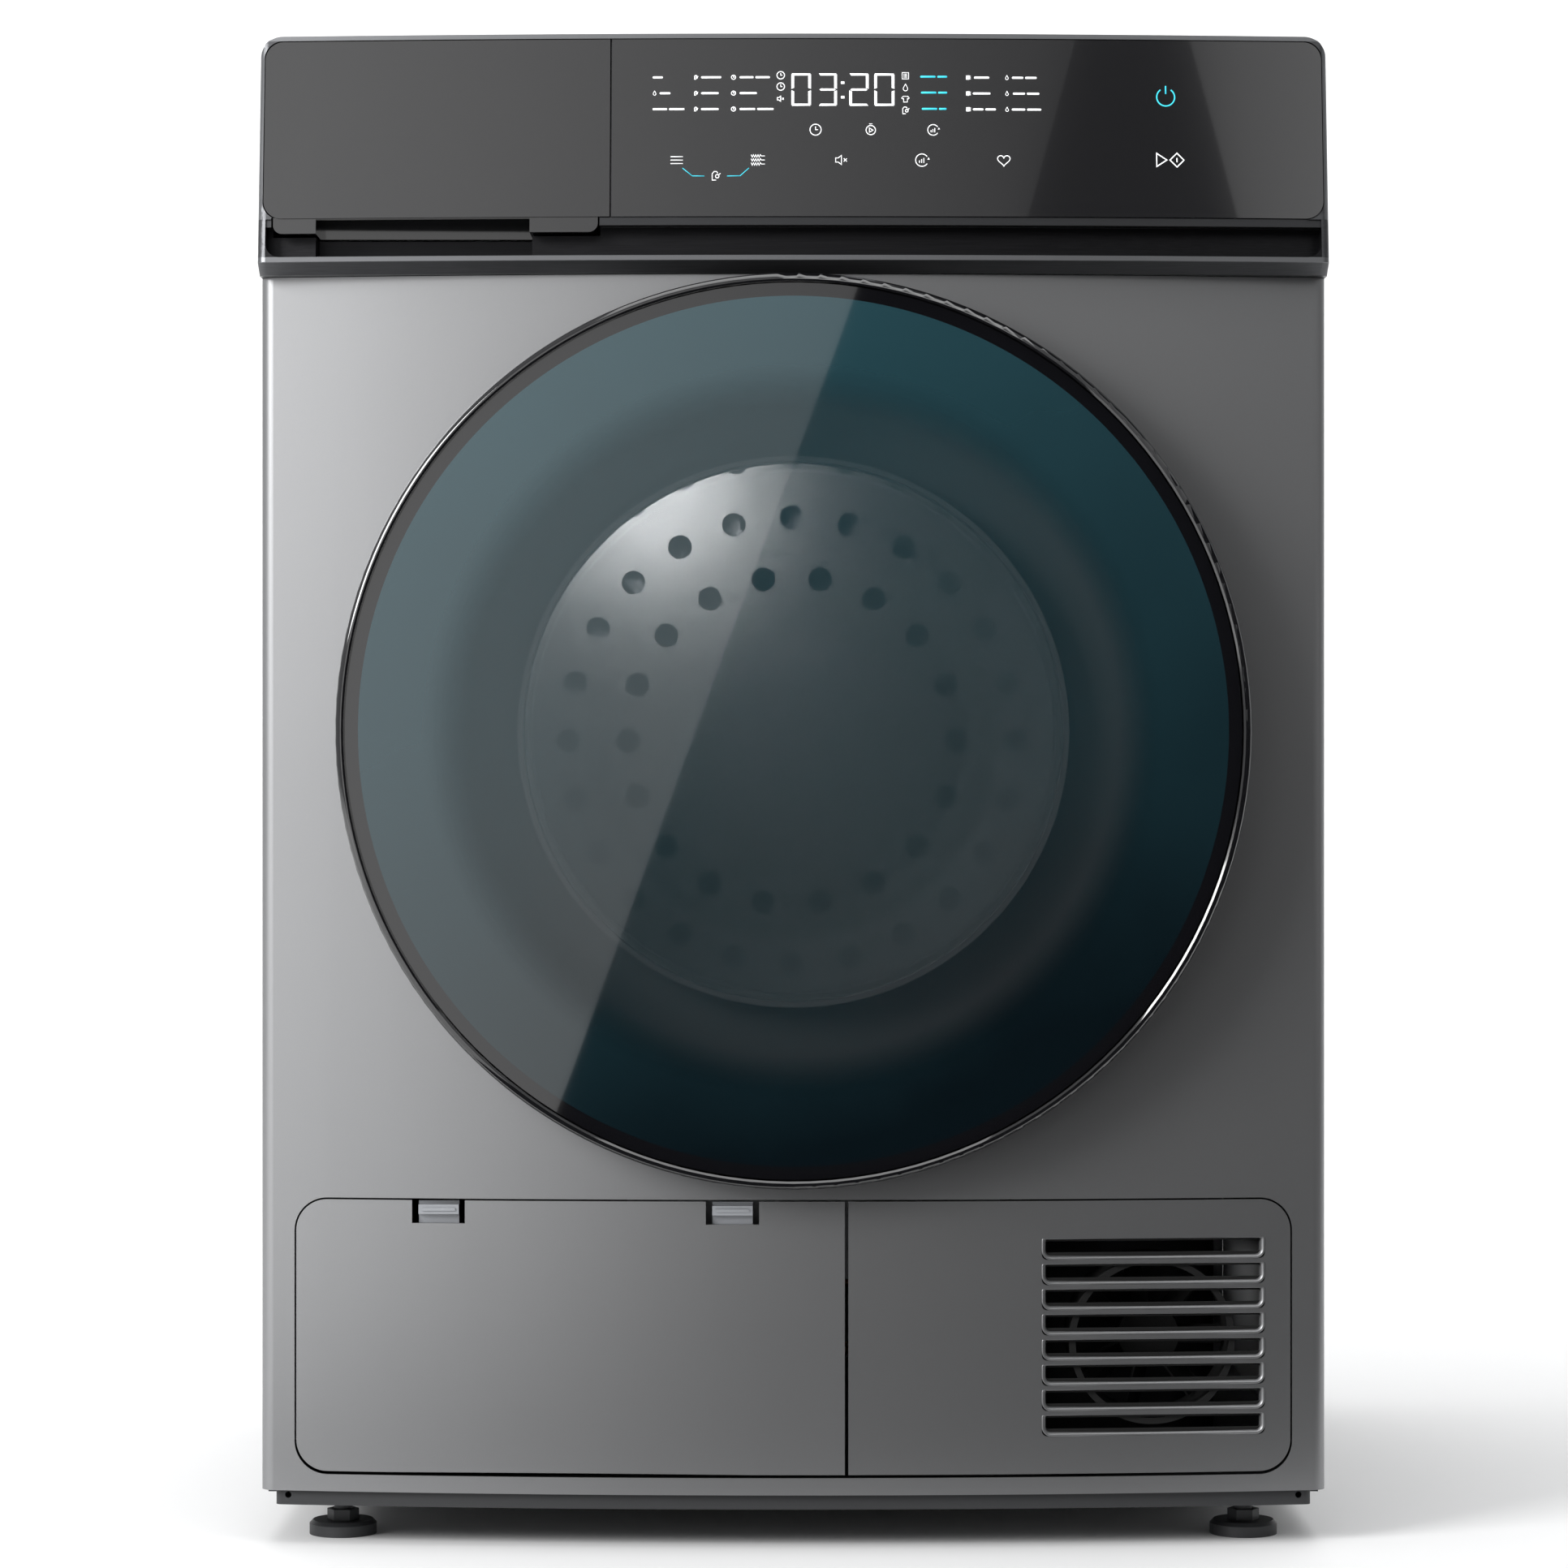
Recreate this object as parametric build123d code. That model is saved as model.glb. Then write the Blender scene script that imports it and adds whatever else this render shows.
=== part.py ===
"""A free-standing heat-pump clothes dryer, modelled piece by piece in millimetres.

The origin is on the floor under the middle of the cabinet. +Z is up, the door faces -Y and +X is to the right
of a person who looks at the door.
"""

from build123d import *
import math
import os

# ---- overall size ----
WIDTH = 595.0
DEPTH = 640.0
HEIGHT = 845.0
SIDE_X = WIDTH / 2
SHEET = 1.2
FOOT_HEIGHT = 22.0
FIT_GAP = 0.3
RUNNING_GAP = 0.05

# ---- front, from the door's glass back to the cabinet ----
DOOR_PROUD = 30.0
PANEL_BOW = 20.0
FASCIA_PROUD = 12.0
FASCIA_BOW = 12.0
DOOR_APEX_Y = -DEPTH / 2
PANEL_APEX_Y = DOOR_APEX_Y + DOOR_PROUD
PANEL_EDGE_Y = PANEL_APEX_Y + PANEL_BOW
FASCIA_APEX_Y = PANEL_APEX_Y - FASCIA_PROUD
PANEL_RADIUS = (SIDE_X**2 + PANEL_BOW**2) / (2 * PANEL_BOW)
FASCIA_RADIUS = (SIDE_X**2 + FASCIA_BOW**2) / (2 * FASCIA_BOW)
PANEL_CORNER = 8.0
PANEL_RETURN = 15.0
RETURN_Y = PANEL_EDGE_Y + PANEL_RETURN
SIDE_FRONT_Y = RETURN_Y + FIT_GAP

# ---- rear ----
REAR_COVER_DEPTH = 15.0
REAR_Y = DEPTH / 2 - REAR_COVER_DEPTH
REAR_COVER_RADIUS = 240.0
REAR_BULKHEAD_SPACE = 43.0
REAR_BULKHEAD_Y = REAR_Y - REAR_BULKHEAD_SPACE
BULKHEAD_SHEET = 2.0

# ---- heights ----
PLINTH_HEIGHT = 8.0
PLINTH_INSET = 4.0
PANEL_BOTTOM_Z = FOOT_HEIGHT + PLINTH_HEIGHT + 0.5
TRAY_TOP_Z = FOOT_HEIGHT + 14.0
WORKTOP_THICKNESS = 19.0
WORKTOP_REAR_CORNER = 12.0
WORKTOP_EDGE = 7.0
WORKTOP_BOTTOM_Z = HEIGHT - WORKTOP_THICKNESS
CASE_TOP_Z = WORKTOP_BOTTOM_Z - FIT_GAP

# ---- control fascia ----
FASCIA_HEIGHT = 134.0
FASCIA_TOP_DROP = 3.0
FASCIA_TOP_Z = HEIGHT - FASCIA_TOP_DROP
FASCIA_BOTTOM_Z = FASCIA_TOP_Z - FASCIA_HEIGHT
LIP_BOTTOM_Z = FASCIA_BOTTOM_Z + 6.3
LIP_TOP_Z = LIP_BOTTOM_Z + 2.7
CHANNEL_HEIGHT = 17.0
CHANNEL_TOP_Z = LIP_TOP_Z + CHANNEL_HEIGHT
CHANNEL_DEPTH = 12.0
CHANNEL_END = 4.5
CHANNEL_CORNER = 8.0
TRIM_HEIGHT = 4.3
GLASS_BOTTOM_Z = CHANNEL_TOP_Z + TRIM_HEIGHT
GLASS_RIM = 2.6
GLASS_TOP_Z = FASCIA_TOP_Z - GLASS_RIM
GLASS_X = SIDE_X - GLASS_RIM
GLASS_CORNER = 10.0
GLASS_THICKNESS = 2.5
GLASS_GAP = 0.5
FASCIA_LEAN = 0.135
FASCIA_CORNER = 5.0
FASCIA_CROWN = 12.5
FASCIA_WALL = 4.0
TRIM_SETBACK = 1.2
SLOPE_DEPTH = 10.0
GLASS_SEAT_GAP = 0.1
CUT_SPARE = 3.0
CUT_SLIP = 0.02
GLASS_SETBACK = 0.4

# ---- drum, loading mouth and door, each sized from the one inside it ----
DRUM_RADIUS = 272.0
DRUM_NECK_RADIUS = DRUM_RADIUS - 27.0
HUB_OUTER = DRUM_NECK_RADIUS - 13.0
MOUTH_RADIUS = HUB_OUTER - 27.0
MOUTH_WALL = 3.0
MOUTH_FLANGE_RADIUS = MOUTH_RADIUS + 30.0
PANEL_HOLE_RADIUS = MOUTH_RADIUS + 7.0
DOOR_RADIUS = MOUTH_RADIUS + 47.0
DOOR_HEAD_GAP = 2.0
DOOR_Z = FASCIA_BOTTOM_Z - DOOR_HEAD_GAP - DOOR_RADIUS
DOOR_GAP = 4.0
DOOR_RIM = 4.4
DOOR_GLASS_RADIUS = DOOR_RADIUS - 5.5
DOOR_GLASS_CROWN = 7.0
DOOR_GLASS_THICKNESS = 4.0
DOOR_RING_INNER = DOOR_RADIUS - 26.0
FRAME_FLANGE_RADIUS = DOOR_RING_INNER - 0.5
FRAME_HUB_RADIUS = MOUTH_RADIUS - 5.0
FRAME_WALL = 3.0
BOWL_RADIUS = MOUTH_RADIUS - 55.0
BOWL_FLOOR_RADIUS = BOWL_RADIUS - 30.0
BOWL_WALL = 4.0
FRAME_FRONT_Y = DOOR_APEX_Y + 17.0
FRAME_BACK_Y = DOOR_APEX_Y + 52.0
BOWL_RIM_Y = DOOR_APEX_Y + 30.0
BOWL_BEND_Y = DOOR_APEX_Y + 58.0
BOWL_FLOOR_Y = DOOR_APEX_Y + 118.0
SEAL_RADIUS = MOUTH_RADIUS - 2.0
SEAL_INNER = SEAL_RADIUS - 13.0
SEAL_THICKNESS = 6.0
HINGE_X = DOOR_RADIUS - 12.0
HINGE_Y = DOOR_APEX_Y + 22.0
HINGE_PIN_RADIUS = 3.0
HINGE_KNUCKLE_RADIUS = 6.0
HINGE_LUG_LOW = 20.0
HINGE_LUG_HIGH = 30.0
HINGE_ARM_HIGH = 42.0
HINGE_POCKET = 54.0
LUG_STEP = 1.5
MOUTH_FRONT_Y = PANEL_APEX_Y + 14.5
LATCH_X = -(DOOR_RADIUS - 32.0)
LATCH_HALF_HEIGHT = 8.0

# ---- drum and its drive ----
DRUM_Z = DOOR_Z
DRUM_SHEET = 1.5
DRUM_NECK_LENGTH = 26.0
FRONT_BULKHEAD_SPACE = 58.0
FRONT_BULKHEAD_Y = PANEL_APEX_Y + FRONT_BULKHEAD_SPACE
DRUM_FRONT_Y = FRONT_BULKHEAD_Y + 42.0
DRUM_REAR_Y = REAR_BULKHEAD_Y - 27.0
DRUM_SHAFT_RADIUS = 12.0
BEARING_RADIUS = DRUM_SHAFT_RADIUS + 18.0
BEARING_FLANGE_RADIUS = BEARING_RADIUS + 12.0
BEARING_LENGTH = 14.0
HOT_AIR_HOLES = 18
HOT_AIR_HOLE_RADIUS = 9.0
HUB_LENGTH = 30.0
DRUM_HOLE_RADIUS = 8.0
DRUM_HOLE_ROWS = ((0.404, 18), (0.551, 24), (0.699, 32), (0.846, 40))
DRUM_BACK_SHEET = 2.0
DRUM_HUB_RADIUS = 60.0
DRUM_HUB_THICKNESS = 6.0
LIFTER_COUNT = 3
LIFTER_HEIGHT = 40.0
LIFTER_HALF_WIDTH = 30.0
LIFTER_CREST = 9.0
LIFTER_END_GAP = 30.0
BULKHEAD_DROP = 254.0
BULKHEAD_SIDE_GAP = 8.0
FRONT_BULKHEAD_SHEET = 3.0
FILTER_POCKET_HALF = 93.0
FILTER_POCKET_WALL = 3.0
FILTER_POCKET_FRONT_Y = PANEL_APEX_Y + 22.0
FILTER_POCKET_RISE = 108.0
FILTER_TOP_DROP = 180.0
FILTER_GAP = 2.0
FILTER_WALL = 2.0
FILTER_WINDOWS = 5
FILTER_WINDOW_WIDTH = 27.0
FILTER_WINDOW_PITCH = 31.0
BELT_THICKNESS = 2.4
BELT_WIDTH = 10.0
BELT_Y = DRUM_FRONT_Y + 149.0
PULLEY_RADIUS = 9.0
MOTOR_X = 195.0
MOTOR_Z = 110.0
MOTOR_RADIUS = 48.0
MOTOR_SHAFT_RADIUS = 6.0
MOTOR_FRONT_Y = BELT_Y + 21.0
MOTOR_LENGTH = 108.0
IDLER_RADIUS = 18.0
IDLER_AXLE_RADIUS = 4.0
IDLER_SHARE = 0.33
ROLLER_RADIUS = 22.0
ROLLER_ANGLE = 35.0
ROLLER_AXLE_RADIUS = 5.0
ROLLER_WIDTH = 18.0
BLOWER_RADIUS = 72.0
BLOWER_WALL = 3.0
BLOWER_FRONT_Y = MOTOR_FRONT_Y + MOTOR_LENGTH + 14.0
BLOWER_DEPTH = 60.0

# ---- water tank ----
TANK_SPLIT_X = -101.2
TANK_GAP = 1.0
TANK_WALL = 2.0
TANK_CLEARANCE = 1.5
SLEEVE_WALL = 2.0
SLEEVE_X0 = -SIDE_X + 4.5
SLEEVE_X1 = TANK_SPLIT_X + 2.2
SLEEVE_Z0 = GLASS_BOTTOM_Z
SLEEVE_Z1 = WORKTOP_BOTTOM_Z - 2.0
SLEEVE_LENGTH = 470.0
SLEEVE_Y1 = RETURN_Y + SLEEVE_LENGTH
TANK_FRONT_BACK_Y = RETURN_Y - 3.0
GRIP_WALL = 6.0
GRIP_BACK_WALL = 3.0
GRIP_HEIGHT = 32.0
GRIP_X0 = -265.0
GRIP_X1 = -146.0
TANK_FLANGE_DROP = 8.0
TANK_FLANGE_INSET = 6.0
TANK_FLANGE_CORNER = 5.0

# ---- lower service area ----
SERVICE_X = SIDE_X - 19.0
SERVICE_Z0 = FOOT_HEIGHT + 18.0
SERVICE_Z1 = SERVICE_Z0 + 154.4
SERVICE_CORNER = 18.5
HATCH_SPLIT_X = 29.5
HATCH_GAP = 1.0
HATCH_FOOT_GAP = 1.8
HATCH_THICKNESS = 3.0
HATCH_AXIS_RISE = 46.0
HATCH_AXIS_SETBACK = 7.6
HATCH_PEG_RADIUS = 2.0
HATCH_BOSS_RADIUS = 4.0
HATCH_SWING_GAP = 0.6
HATCH_LATCH_TRAVEL = 4.0
HATCH_LATCH_X = (-197.5, -33.8)
HATCH_NOTCH_WIDTH = 29.6
HATCH_NOTCH_DEPTH = 12.8
HATCH_TONGUE_WIDTH = 22.4
LOUVRE_X0 = 138.0
LOUVRE_X1 = 263.0
LOUVRE_COUNT = 8
LOUVRE_PITCH = 14.0
LOUVRE_HEIGHT = 11.8
LOUVRE_OPENING = 5.6
LOUVRE_TOP_Z = SERVICE_Z1 - 22.0

# ---- heat pump in the base ----
EXCHANGER_X0 = -268.0
EXCHANGER_X1 = -30.0
EXCHANGER_Y0 = FRONT_BULKHEAD_Y + 30.0
EXCHANGER_LENGTH = 270.0
EXCHANGER_Z1 = 172.0
EXCHANGER_WALL = 3.0
COVER_PLATE = 8.0
TURN_LATCH_RADIUS = 4.0
COMPRESSOR_X = 190.0
COMPRESSOR_Y = FRONT_BULKHEAD_Y + 102.0
COMPRESSOR_RADIUS = 58.0
PIPE_STANDOFF = 22.0
FAN_X = 200.0
FAN_Z = 115.0
FAN_SIZE = 92.0
FAN_RADIUS = 43.0
FAN_DEPTH = 25.0
FAN_FRONT_Y = PANEL_APEX_Y + 31.0

# ---- feet and small hardware ----
FOOT_PAD_RADIUS = 19.0
FOOT_PAD_HEIGHT = 8.0
FOOT_STEM_RADIUS = 5.0
FOOT_STEM_TOP_Z = FOOT_HEIGHT + 22.0
FOOT_INSET_X = 42.0
FOOT_FRONT_Y = PANEL_EDGE_Y + 40.0
FOOT_REAR_Y = REAR_Y - 40.0
FOOT_BOSS_RADIUS = 14.0
GLAND_RADIUS = 9.0
GLAND_BORE = 4.5
GLAND_NECK_RADIUS = GLAND_RADIUS - 2.0
SPIGOT_RADIUS = 5.0
SPIGOT_LENGTH = 13.0
SPIGOT_SHOULDER = 2.0
SPIGOT_SHOULDER_RADIUS = 10.0
SPIGOT_NECK_RADIUS = 6.0
SPIGOT_BORE = 3.5
SPIGOT_INSIDE = 19.0


def span_box(x0, x1, y0, y1, z0, z1):
    """A box between two corners."""
    middle = Pos((x0 + x1) / 2, (y0 + y1) / 2, (z0 + z1) / 2)
    return middle * Box(x1 - x0, y1 - y0, z1 - z0)


def disc_y(radius, y0, y1, x, z):
    """A round bar along Y."""
    return Pos(x, (y0 + y1) / 2, z) * Rot(90, 0, 0) * Cylinder(radius, y1 - y0)


def ring_y(outer, inner, y0, y1, x, z):
    """A round tube along Y."""
    return disc_y(outer, y0, y1, x, z) - disc_y(inner, y0 - 1, y1 + 1, x, z)


def disc_z(radius, z0, z1, x, y):
    """A round bar along Z."""
    return Pos(x, y, (z0 + z1) / 2) * Cylinder(radius, z1 - z0)


def rod(start, end, radius):
    """A round bar between two points."""
    along = Vector(*end) - Vector(*start)
    return extrude(Plane(origin=start, z_dir=along) * Circle(radius), amount=along.length)


def rounded_bar(x0, x1, z0, z1, corner, y0, y1):
    """A bar along Y whose front view is a rounded rectangle."""
    face = RectangleRounded(x1 - x0, z1 - z0, corner)
    plane = Plane(origin=((x0 + x1) / 2, y0, (z0 + z1) / 2), x_dir=(1, 0, 0), z_dir=(0, 1, 0))
    return extrude(plane * face, amount=y1 - y0)


def polygon_face(points, plane):
    """A flat face with straight sides in the given plane."""
    return plane * make_face(Polyline(*points, points[0]).edges())


def turned_about_y(points, z):
    """A solid turned about the Y direction from an outline of (radius, y) points."""
    outline = make_face(Polyline(*points, points[0]).edges())
    return Pos(0, 0, z) * revolve(outline, Axis.Y, 360)


def bow_y(x, apex_y, radius):
    """How far forward a bowed surface stands at a given x."""
    return apex_y + radius - math.sqrt(radius**2 - x**2)


def bowed_plan(apex_y, radius, half_width, back_y, corner=0.0):
    """The plan of a block whose front is bowed and whose back is straight."""
    end_y = bow_y(half_width, apex_y, radius)
    front = ThreePointArc((-half_width, end_y), (0, apex_y), (half_width, end_y))
    rest = Polyline((half_width, end_y), (half_width, back_y), (-half_width, back_y), (-half_width, end_y))
    plan = make_face([*front.edges(), *rest.edges()])
    if corner:
        plan = fillet(plan.vertices().sort_by(Axis.Y)[:2], corner)
    return plan


def bowed_block(apex_y, radius, half_width, back_y, z0, z1, corner=0.0, lean=0.0):
    """A block with a bowed front, which may lean back or forward as it rises."""
    plan = bowed_plan(apex_y, radius, half_width, back_y, corner)
    rise = Vector(0, lean * (z1 - z0), z1 - z0)
    return extrude(Pos(0, 0, z0) * plan, amount=rise.length, dir=rise.normalized())


def panel_slab(front, back, half_width, z0, z1):
    """The layer between two depths behind the bowed front of the cabinet."""
    deep_y = PANEL_EDGE_Y + PANEL_BOW
    outer = bowed_block(PANEL_APEX_Y + front, PANEL_RADIUS - front, half_width, deep_y, z0, z1)
    inner = bowed_block(PANEL_APEX_Y + back, PANEL_RADIUS - back, half_width + 1, deep_y + 1, z0 - 1, z1 + 1)
    return outer - inner


def panel_y(x, depth=0.0):
    """The y of the cabinet's bowed front at x, or of a surface behind it."""
    return bow_y(x, PANEL_APEX_Y + depth, PANEL_RADIUS - depth)


# ---- base ----
def base_moulding():
    """The plastic base: a bowed plinth, a tray, cradles and the four nut bosses."""
    plinth_apex = PANEL_APEX_Y + PLINTH_INSET
    plinth_top = FOOT_HEIGHT + PLINTH_HEIGHT
    plinth_half = SIDE_X - 2 * PLINTH_INSET
    base = bowed_block(
        plinth_apex, PANEL_RADIUS - PLINTH_INSET, plinth_half, REAR_Y - 4, FOOT_HEIGHT, plinth_top, 3.5
    )
    base -= span_box(
        -plinth_half + 6, plinth_half - 6, PANEL_EDGE_Y + 20, REAR_Y - 12, FOOT_HEIGHT - 1, plinth_top - 3
    )
    tray_half = SIDE_X - SHEET - 1
    tray_front = RETURN_Y + 2
    base += span_box(-tray_half, tray_half, tray_front, REAR_Y - 4, plinth_top - 3, TRAY_TOP_Z)
    for side in (-1, 1):
        for foot_y in (FOOT_FRONT_Y, FOOT_REAR_Y):
            foot_x = side * (SIDE_X - FOOT_INSET_X)
            base += disc_z(FOOT_BOSS_RADIUS, FOOT_HEIGHT, TRAY_TOP_Z, foot_x, foot_y)
            stem_hole = FOOT_STEM_RADIUS + RUNNING_GAP
            base -= disc_z(stem_hole, FOOT_HEIGHT - 1, TRAY_TOP_Z + 1, foot_x, foot_y)
        hole_x = side * (plinth_half - 7)
        hole_z = FOOT_HEIGHT + 5.5
        base -= disc_y(1.8, PANEL_APEX_Y - 1, PANEL_EDGE_Y + 16, hole_x, hole_z)
    for rib in range(4):
        rib_y = EXCHANGER_Y0 + 40 + rib * 60
        base += span_box(EXCHANGER_X0 + 10, EXCHANGER_X1 - 10, rib_y, rib_y + 4, TRAY_TOP_Z, TRAY_TOP_Z + 4)
    for dx, dy in ((-44, -44), (44, -44), (-44, 44), (44, 44)):
        pad = disc_z(9, TRAY_TOP_Z, TRAY_TOP_Z + 6, COMPRESSOR_X + dx, COMPRESSOR_Y + dy)
        base += pad
    return base


def levelling_foot(side, foot_y):
    """A pad with a hexagon and a threaded stem, which screws into its nut boss."""
    foot_x = side * (SIDE_X - FOOT_INSET_X)
    pad = disc_z(FOOT_PAD_RADIUS, 0, FOOT_PAD_HEIGHT, foot_x, foot_y)
    pad = chamfer(pad.edges().group_by(Axis.Z)[-1], 2)
    hexagon = Pos(foot_x, foot_y, FOOT_PAD_HEIGHT) * extrude(RegularPolygon(9, 6), amount=6)
    return pad + hexagon + disc_z(FOOT_STEM_RADIUS, FOOT_PAD_HEIGHT, FOOT_STEM_TOP_Z, foot_x, foot_y)


# ---- cabinet ----
def side_panel(side):
    """A steel side with a shallow pressed field."""
    outer = side * SIDE_X
    inner = side * (SIDE_X - SHEET)
    x0, x1 = min(outer, inner), max(outer, inner)
    return span_box(x0, x1, SIDE_FRONT_Y, REAR_Y - SHEET - FIT_GAP, PANEL_BOTTOM_Z, CASE_TOP_Z)


def rear_panel():
    """The steel back with its large round duct opening and rows of vent slots."""
    half = SIDE_X - SHEET
    panel = span_box(-half, half, REAR_Y - SHEET, REAR_Y, PANEL_BOTTOM_Z, CASE_TOP_Z)
    panel -= disc_y(REAR_COVER_RADIUS - 15, REAR_Y - 9, REAR_Y + 1, 0, DRUM_Z)
    for row in range(6):
        vent_z = PANEL_BOTTOM_Z + 34 + row * 12
        panel -= rounded_bar(110, 250, vent_z, vent_z + 5, 2.4, REAR_Y - 9, REAR_Y + 1)
    gland_x, gland_z = gland_place()
    panel -= disc_y(GLAND_NECK_RADIUS + FIT_GAP, REAR_Y - 9, REAR_Y + 1, gland_x, gland_z)
    spigot_x, spigot_z = spigot_place()
    panel -= disc_y(SPIGOT_NECK_RADIUS + FIT_GAP, REAR_Y - 9, REAR_Y + 1, spigot_x, spigot_z)
    return panel


def gland_place():
    """Where the mains lead enters the back."""
    return SIDE_X - 50, CASE_TOP_Z - 45


def spigot_place():
    """Where the drain hose leaves the back."""
    return -SIDE_X + 60, PANEL_BOTTOM_Z + 60


def rear_duct_cover():
    """The pressed round cover over the drum's hot-air duct, with a flanged rim."""
    outer = disc_y(REAR_COVER_RADIUS - 10, REAR_Y, REAR_Y + REAR_COVER_DEPTH, 0, DRUM_Z)
    outer = chamfer(outer.edges().group_by(Axis.Y)[-1], 8)
    inner = disc_y(REAR_COVER_RADIUS - 12, REAR_Y - 1, REAR_Y + REAR_COVER_DEPTH - 2, 0, DRUM_Z)
    inner = chamfer(inner.edges().group_by(Axis.Y)[-1], 8)
    rim = ring_y(REAR_COVER_RADIUS, REAR_COVER_RADIUS - 12, REAR_Y, REAR_Y + SHEET, 0, DRUM_Z)
    cover = outer - inner + rim
    for step in range(12):
        angle = math.radians(step * 30 + 15)
        reach = REAR_COVER_RADIUS - 5
        hole = disc_y(2.2, REAR_Y - 1, REAR_Y + 3, reach * math.cos(angle), DRUM_Z + reach * math.sin(angle))
        cover -= hole
    return cover


def worktop():
    """The board that closes the top, with a rounded front edge."""
    board = span_box(-SIDE_X, SIDE_X, SIDE_FRONT_Y, REAR_Y, WORKTOP_BOTTOM_Z, HEIGHT)
    upright = board.edges().filter_by(Axis.Z)
    board = fillet(upright.group_by(Axis.Y)[-1], WORKTOP_REAR_CORNER)
    return fillet(board.edges().group_by(Axis.Z)[-1], WORKTOP_EDGE)


def front_panel():
    """The bowed steel front with the door hole and the service opening."""
    top_z = FASCIA_BOTTOM_Z - FIT_GAP
    outer = bowed_block(
        PANEL_APEX_Y, PANEL_RADIUS, SIDE_X, RETURN_Y, PANEL_BOTTOM_Z, top_z, PANEL_CORNER
    )
    inner = bowed_block(
        PANEL_APEX_Y + SHEET, PANEL_RADIUS - SHEET, SIDE_X - SHEET, RETURN_Y + 1,
        PANEL_BOTTOM_Z - 1, top_z + 1, PANEL_CORNER - SHEET,
    )
    panel = outer - inner
    front_y = PANEL_APEX_Y - 1
    back_y = PANEL_EDGE_Y + 4
    panel -= disc_y(PANEL_HOLE_RADIUS, front_y, back_y, 0, DOOR_Z)
    panel -= rounded_bar(-SERVICE_X, SERVICE_X, SERVICE_Z0, SERVICE_Z1, SERVICE_CORNER, front_y, back_y)
    panel -= latch_slot(front_y, back_y)
    return panel


def latch_slot(y0, y1):
    """The hole that the door's latch hook passes through."""
    half_height = LATCH_HALF_HEIGHT + 6
    return span_box(LATCH_X - 10, LATCH_X + 16, y0, y1, DOOR_Z - half_height, DOOR_Z + half_height)


def front_bulkhead():
    """The moulded wall behind the front: loading mouth, drum hub, filter pocket, roller axles."""
    wall_back = FRONT_BULKHEAD_Y + FRONT_BULKHEAD_SHEET
    half = SIDE_X - SHEET - BULKHEAD_SIDE_GAP
    bottom_z = DRUM_Z - BULKHEAD_DROP
    wall = span_box(-half, half, FRONT_BULKHEAD_Y, wall_back, bottom_z, SLEEVE_Z0 - FILTER_GAP)
    wall += disc_y(HUB_OUTER, FRONT_BULKHEAD_Y, FRONT_BULKHEAD_Y + HUB_LENGTH, 0, DRUM_Z)
    wall += disc_y(MOUTH_RADIUS + MOUTH_WALL, MOUTH_FRONT_Y, FRONT_BULKHEAD_Y, 0, DRUM_Z)
    wall += disc_y(MOUTH_FLANGE_RADIUS, MOUTH_FRONT_Y, MOUTH_FRONT_Y + MOUTH_WALL, 0, DRUM_Z)
    hub_wall = MOUTH_WALL + 1
    wall -= ring_y(
        HUB_OUTER - hub_wall, MOUTH_RADIUS + hub_wall, wall_back, wall_back + HUB_LENGTH, 0, DRUM_Z
    )
    pocket = FILTER_POCKET_HALF
    pocket_z0 = SERVICE_Z0 + FILTER_POCKET_RISE
    front_y = FILTER_POCKET_FRONT_Y
    wall += span_box(-pocket, pocket, front_y, FRONT_BULKHEAD_Y, pocket_z0, DRUM_Z - FILTER_TOP_DROP)
    wall -= disc_y(MOUTH_RADIUS, MOUTH_FRONT_Y - 1, FRONT_BULKHEAD_Y + HUB_LENGTH + 1, 0, DRUM_Z)
    thick = FILTER_POCKET_WALL
    wall -= span_box(
        -pocket + thick, pocket - thick, front_y + thick, FRONT_BULKHEAD_Y - thick,
        pocket_z0 + thick, DRUM_Z - MOUTH_RADIUS / 2,
    )
    wall -= latch_slot(MOUTH_FRONT_Y - 1, MOUTH_FRONT_Y + MOUTH_WALL + 1)
    for side in (-1, 1):
        axle_x, axle_z = roller_place(side)
        wall += disc_y(ROLLER_AXLE_RADIUS, FRONT_BULKHEAD_Y, DRUM_FRONT_Y - 3, axle_x, axle_z)
    return wall


def lint_filter():
    """The lift-out filter that stands in its pocket under the loading mouth."""
    clear = FILTER_POCKET_WALL + FILTER_GAP
    half = FILTER_POCKET_HALF - clear
    front_y = FILTER_POCKET_FRONT_Y + 2 * clear
    back_y = FRONT_BULKHEAD_Y - clear - 1
    bottom_z = SERVICE_Z0 + FILTER_POCKET_RISE + clear + 1
    top_z = DRUM_Z - FILTER_TOP_DROP
    body = span_box(-half, half, front_y, back_y, bottom_z, top_z)
    body -= disc_y(MOUTH_RADIUS - 3, front_y - 1, back_y + 1, 0, DRUM_Z)
    wall = FILTER_WALL
    body -= span_box(
        -half + 2 * wall, half - 2 * wall, front_y + wall, back_y - wall, bottom_z + 2 * wall, top_z + 30
    )
    reach = (FILTER_WINDOWS * FILTER_WINDOW_PITCH - 3) / 2
    for column in range(FILTER_WINDOWS):
        window_x = -reach + column * FILTER_WINDOW_PITCH
        body -= span_box(
            window_x, window_x + FILTER_WINDOW_WIDTH, front_y - 1, back_y + 1,
            bottom_z + 10, top_z - 36,
        )
    return body


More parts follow.
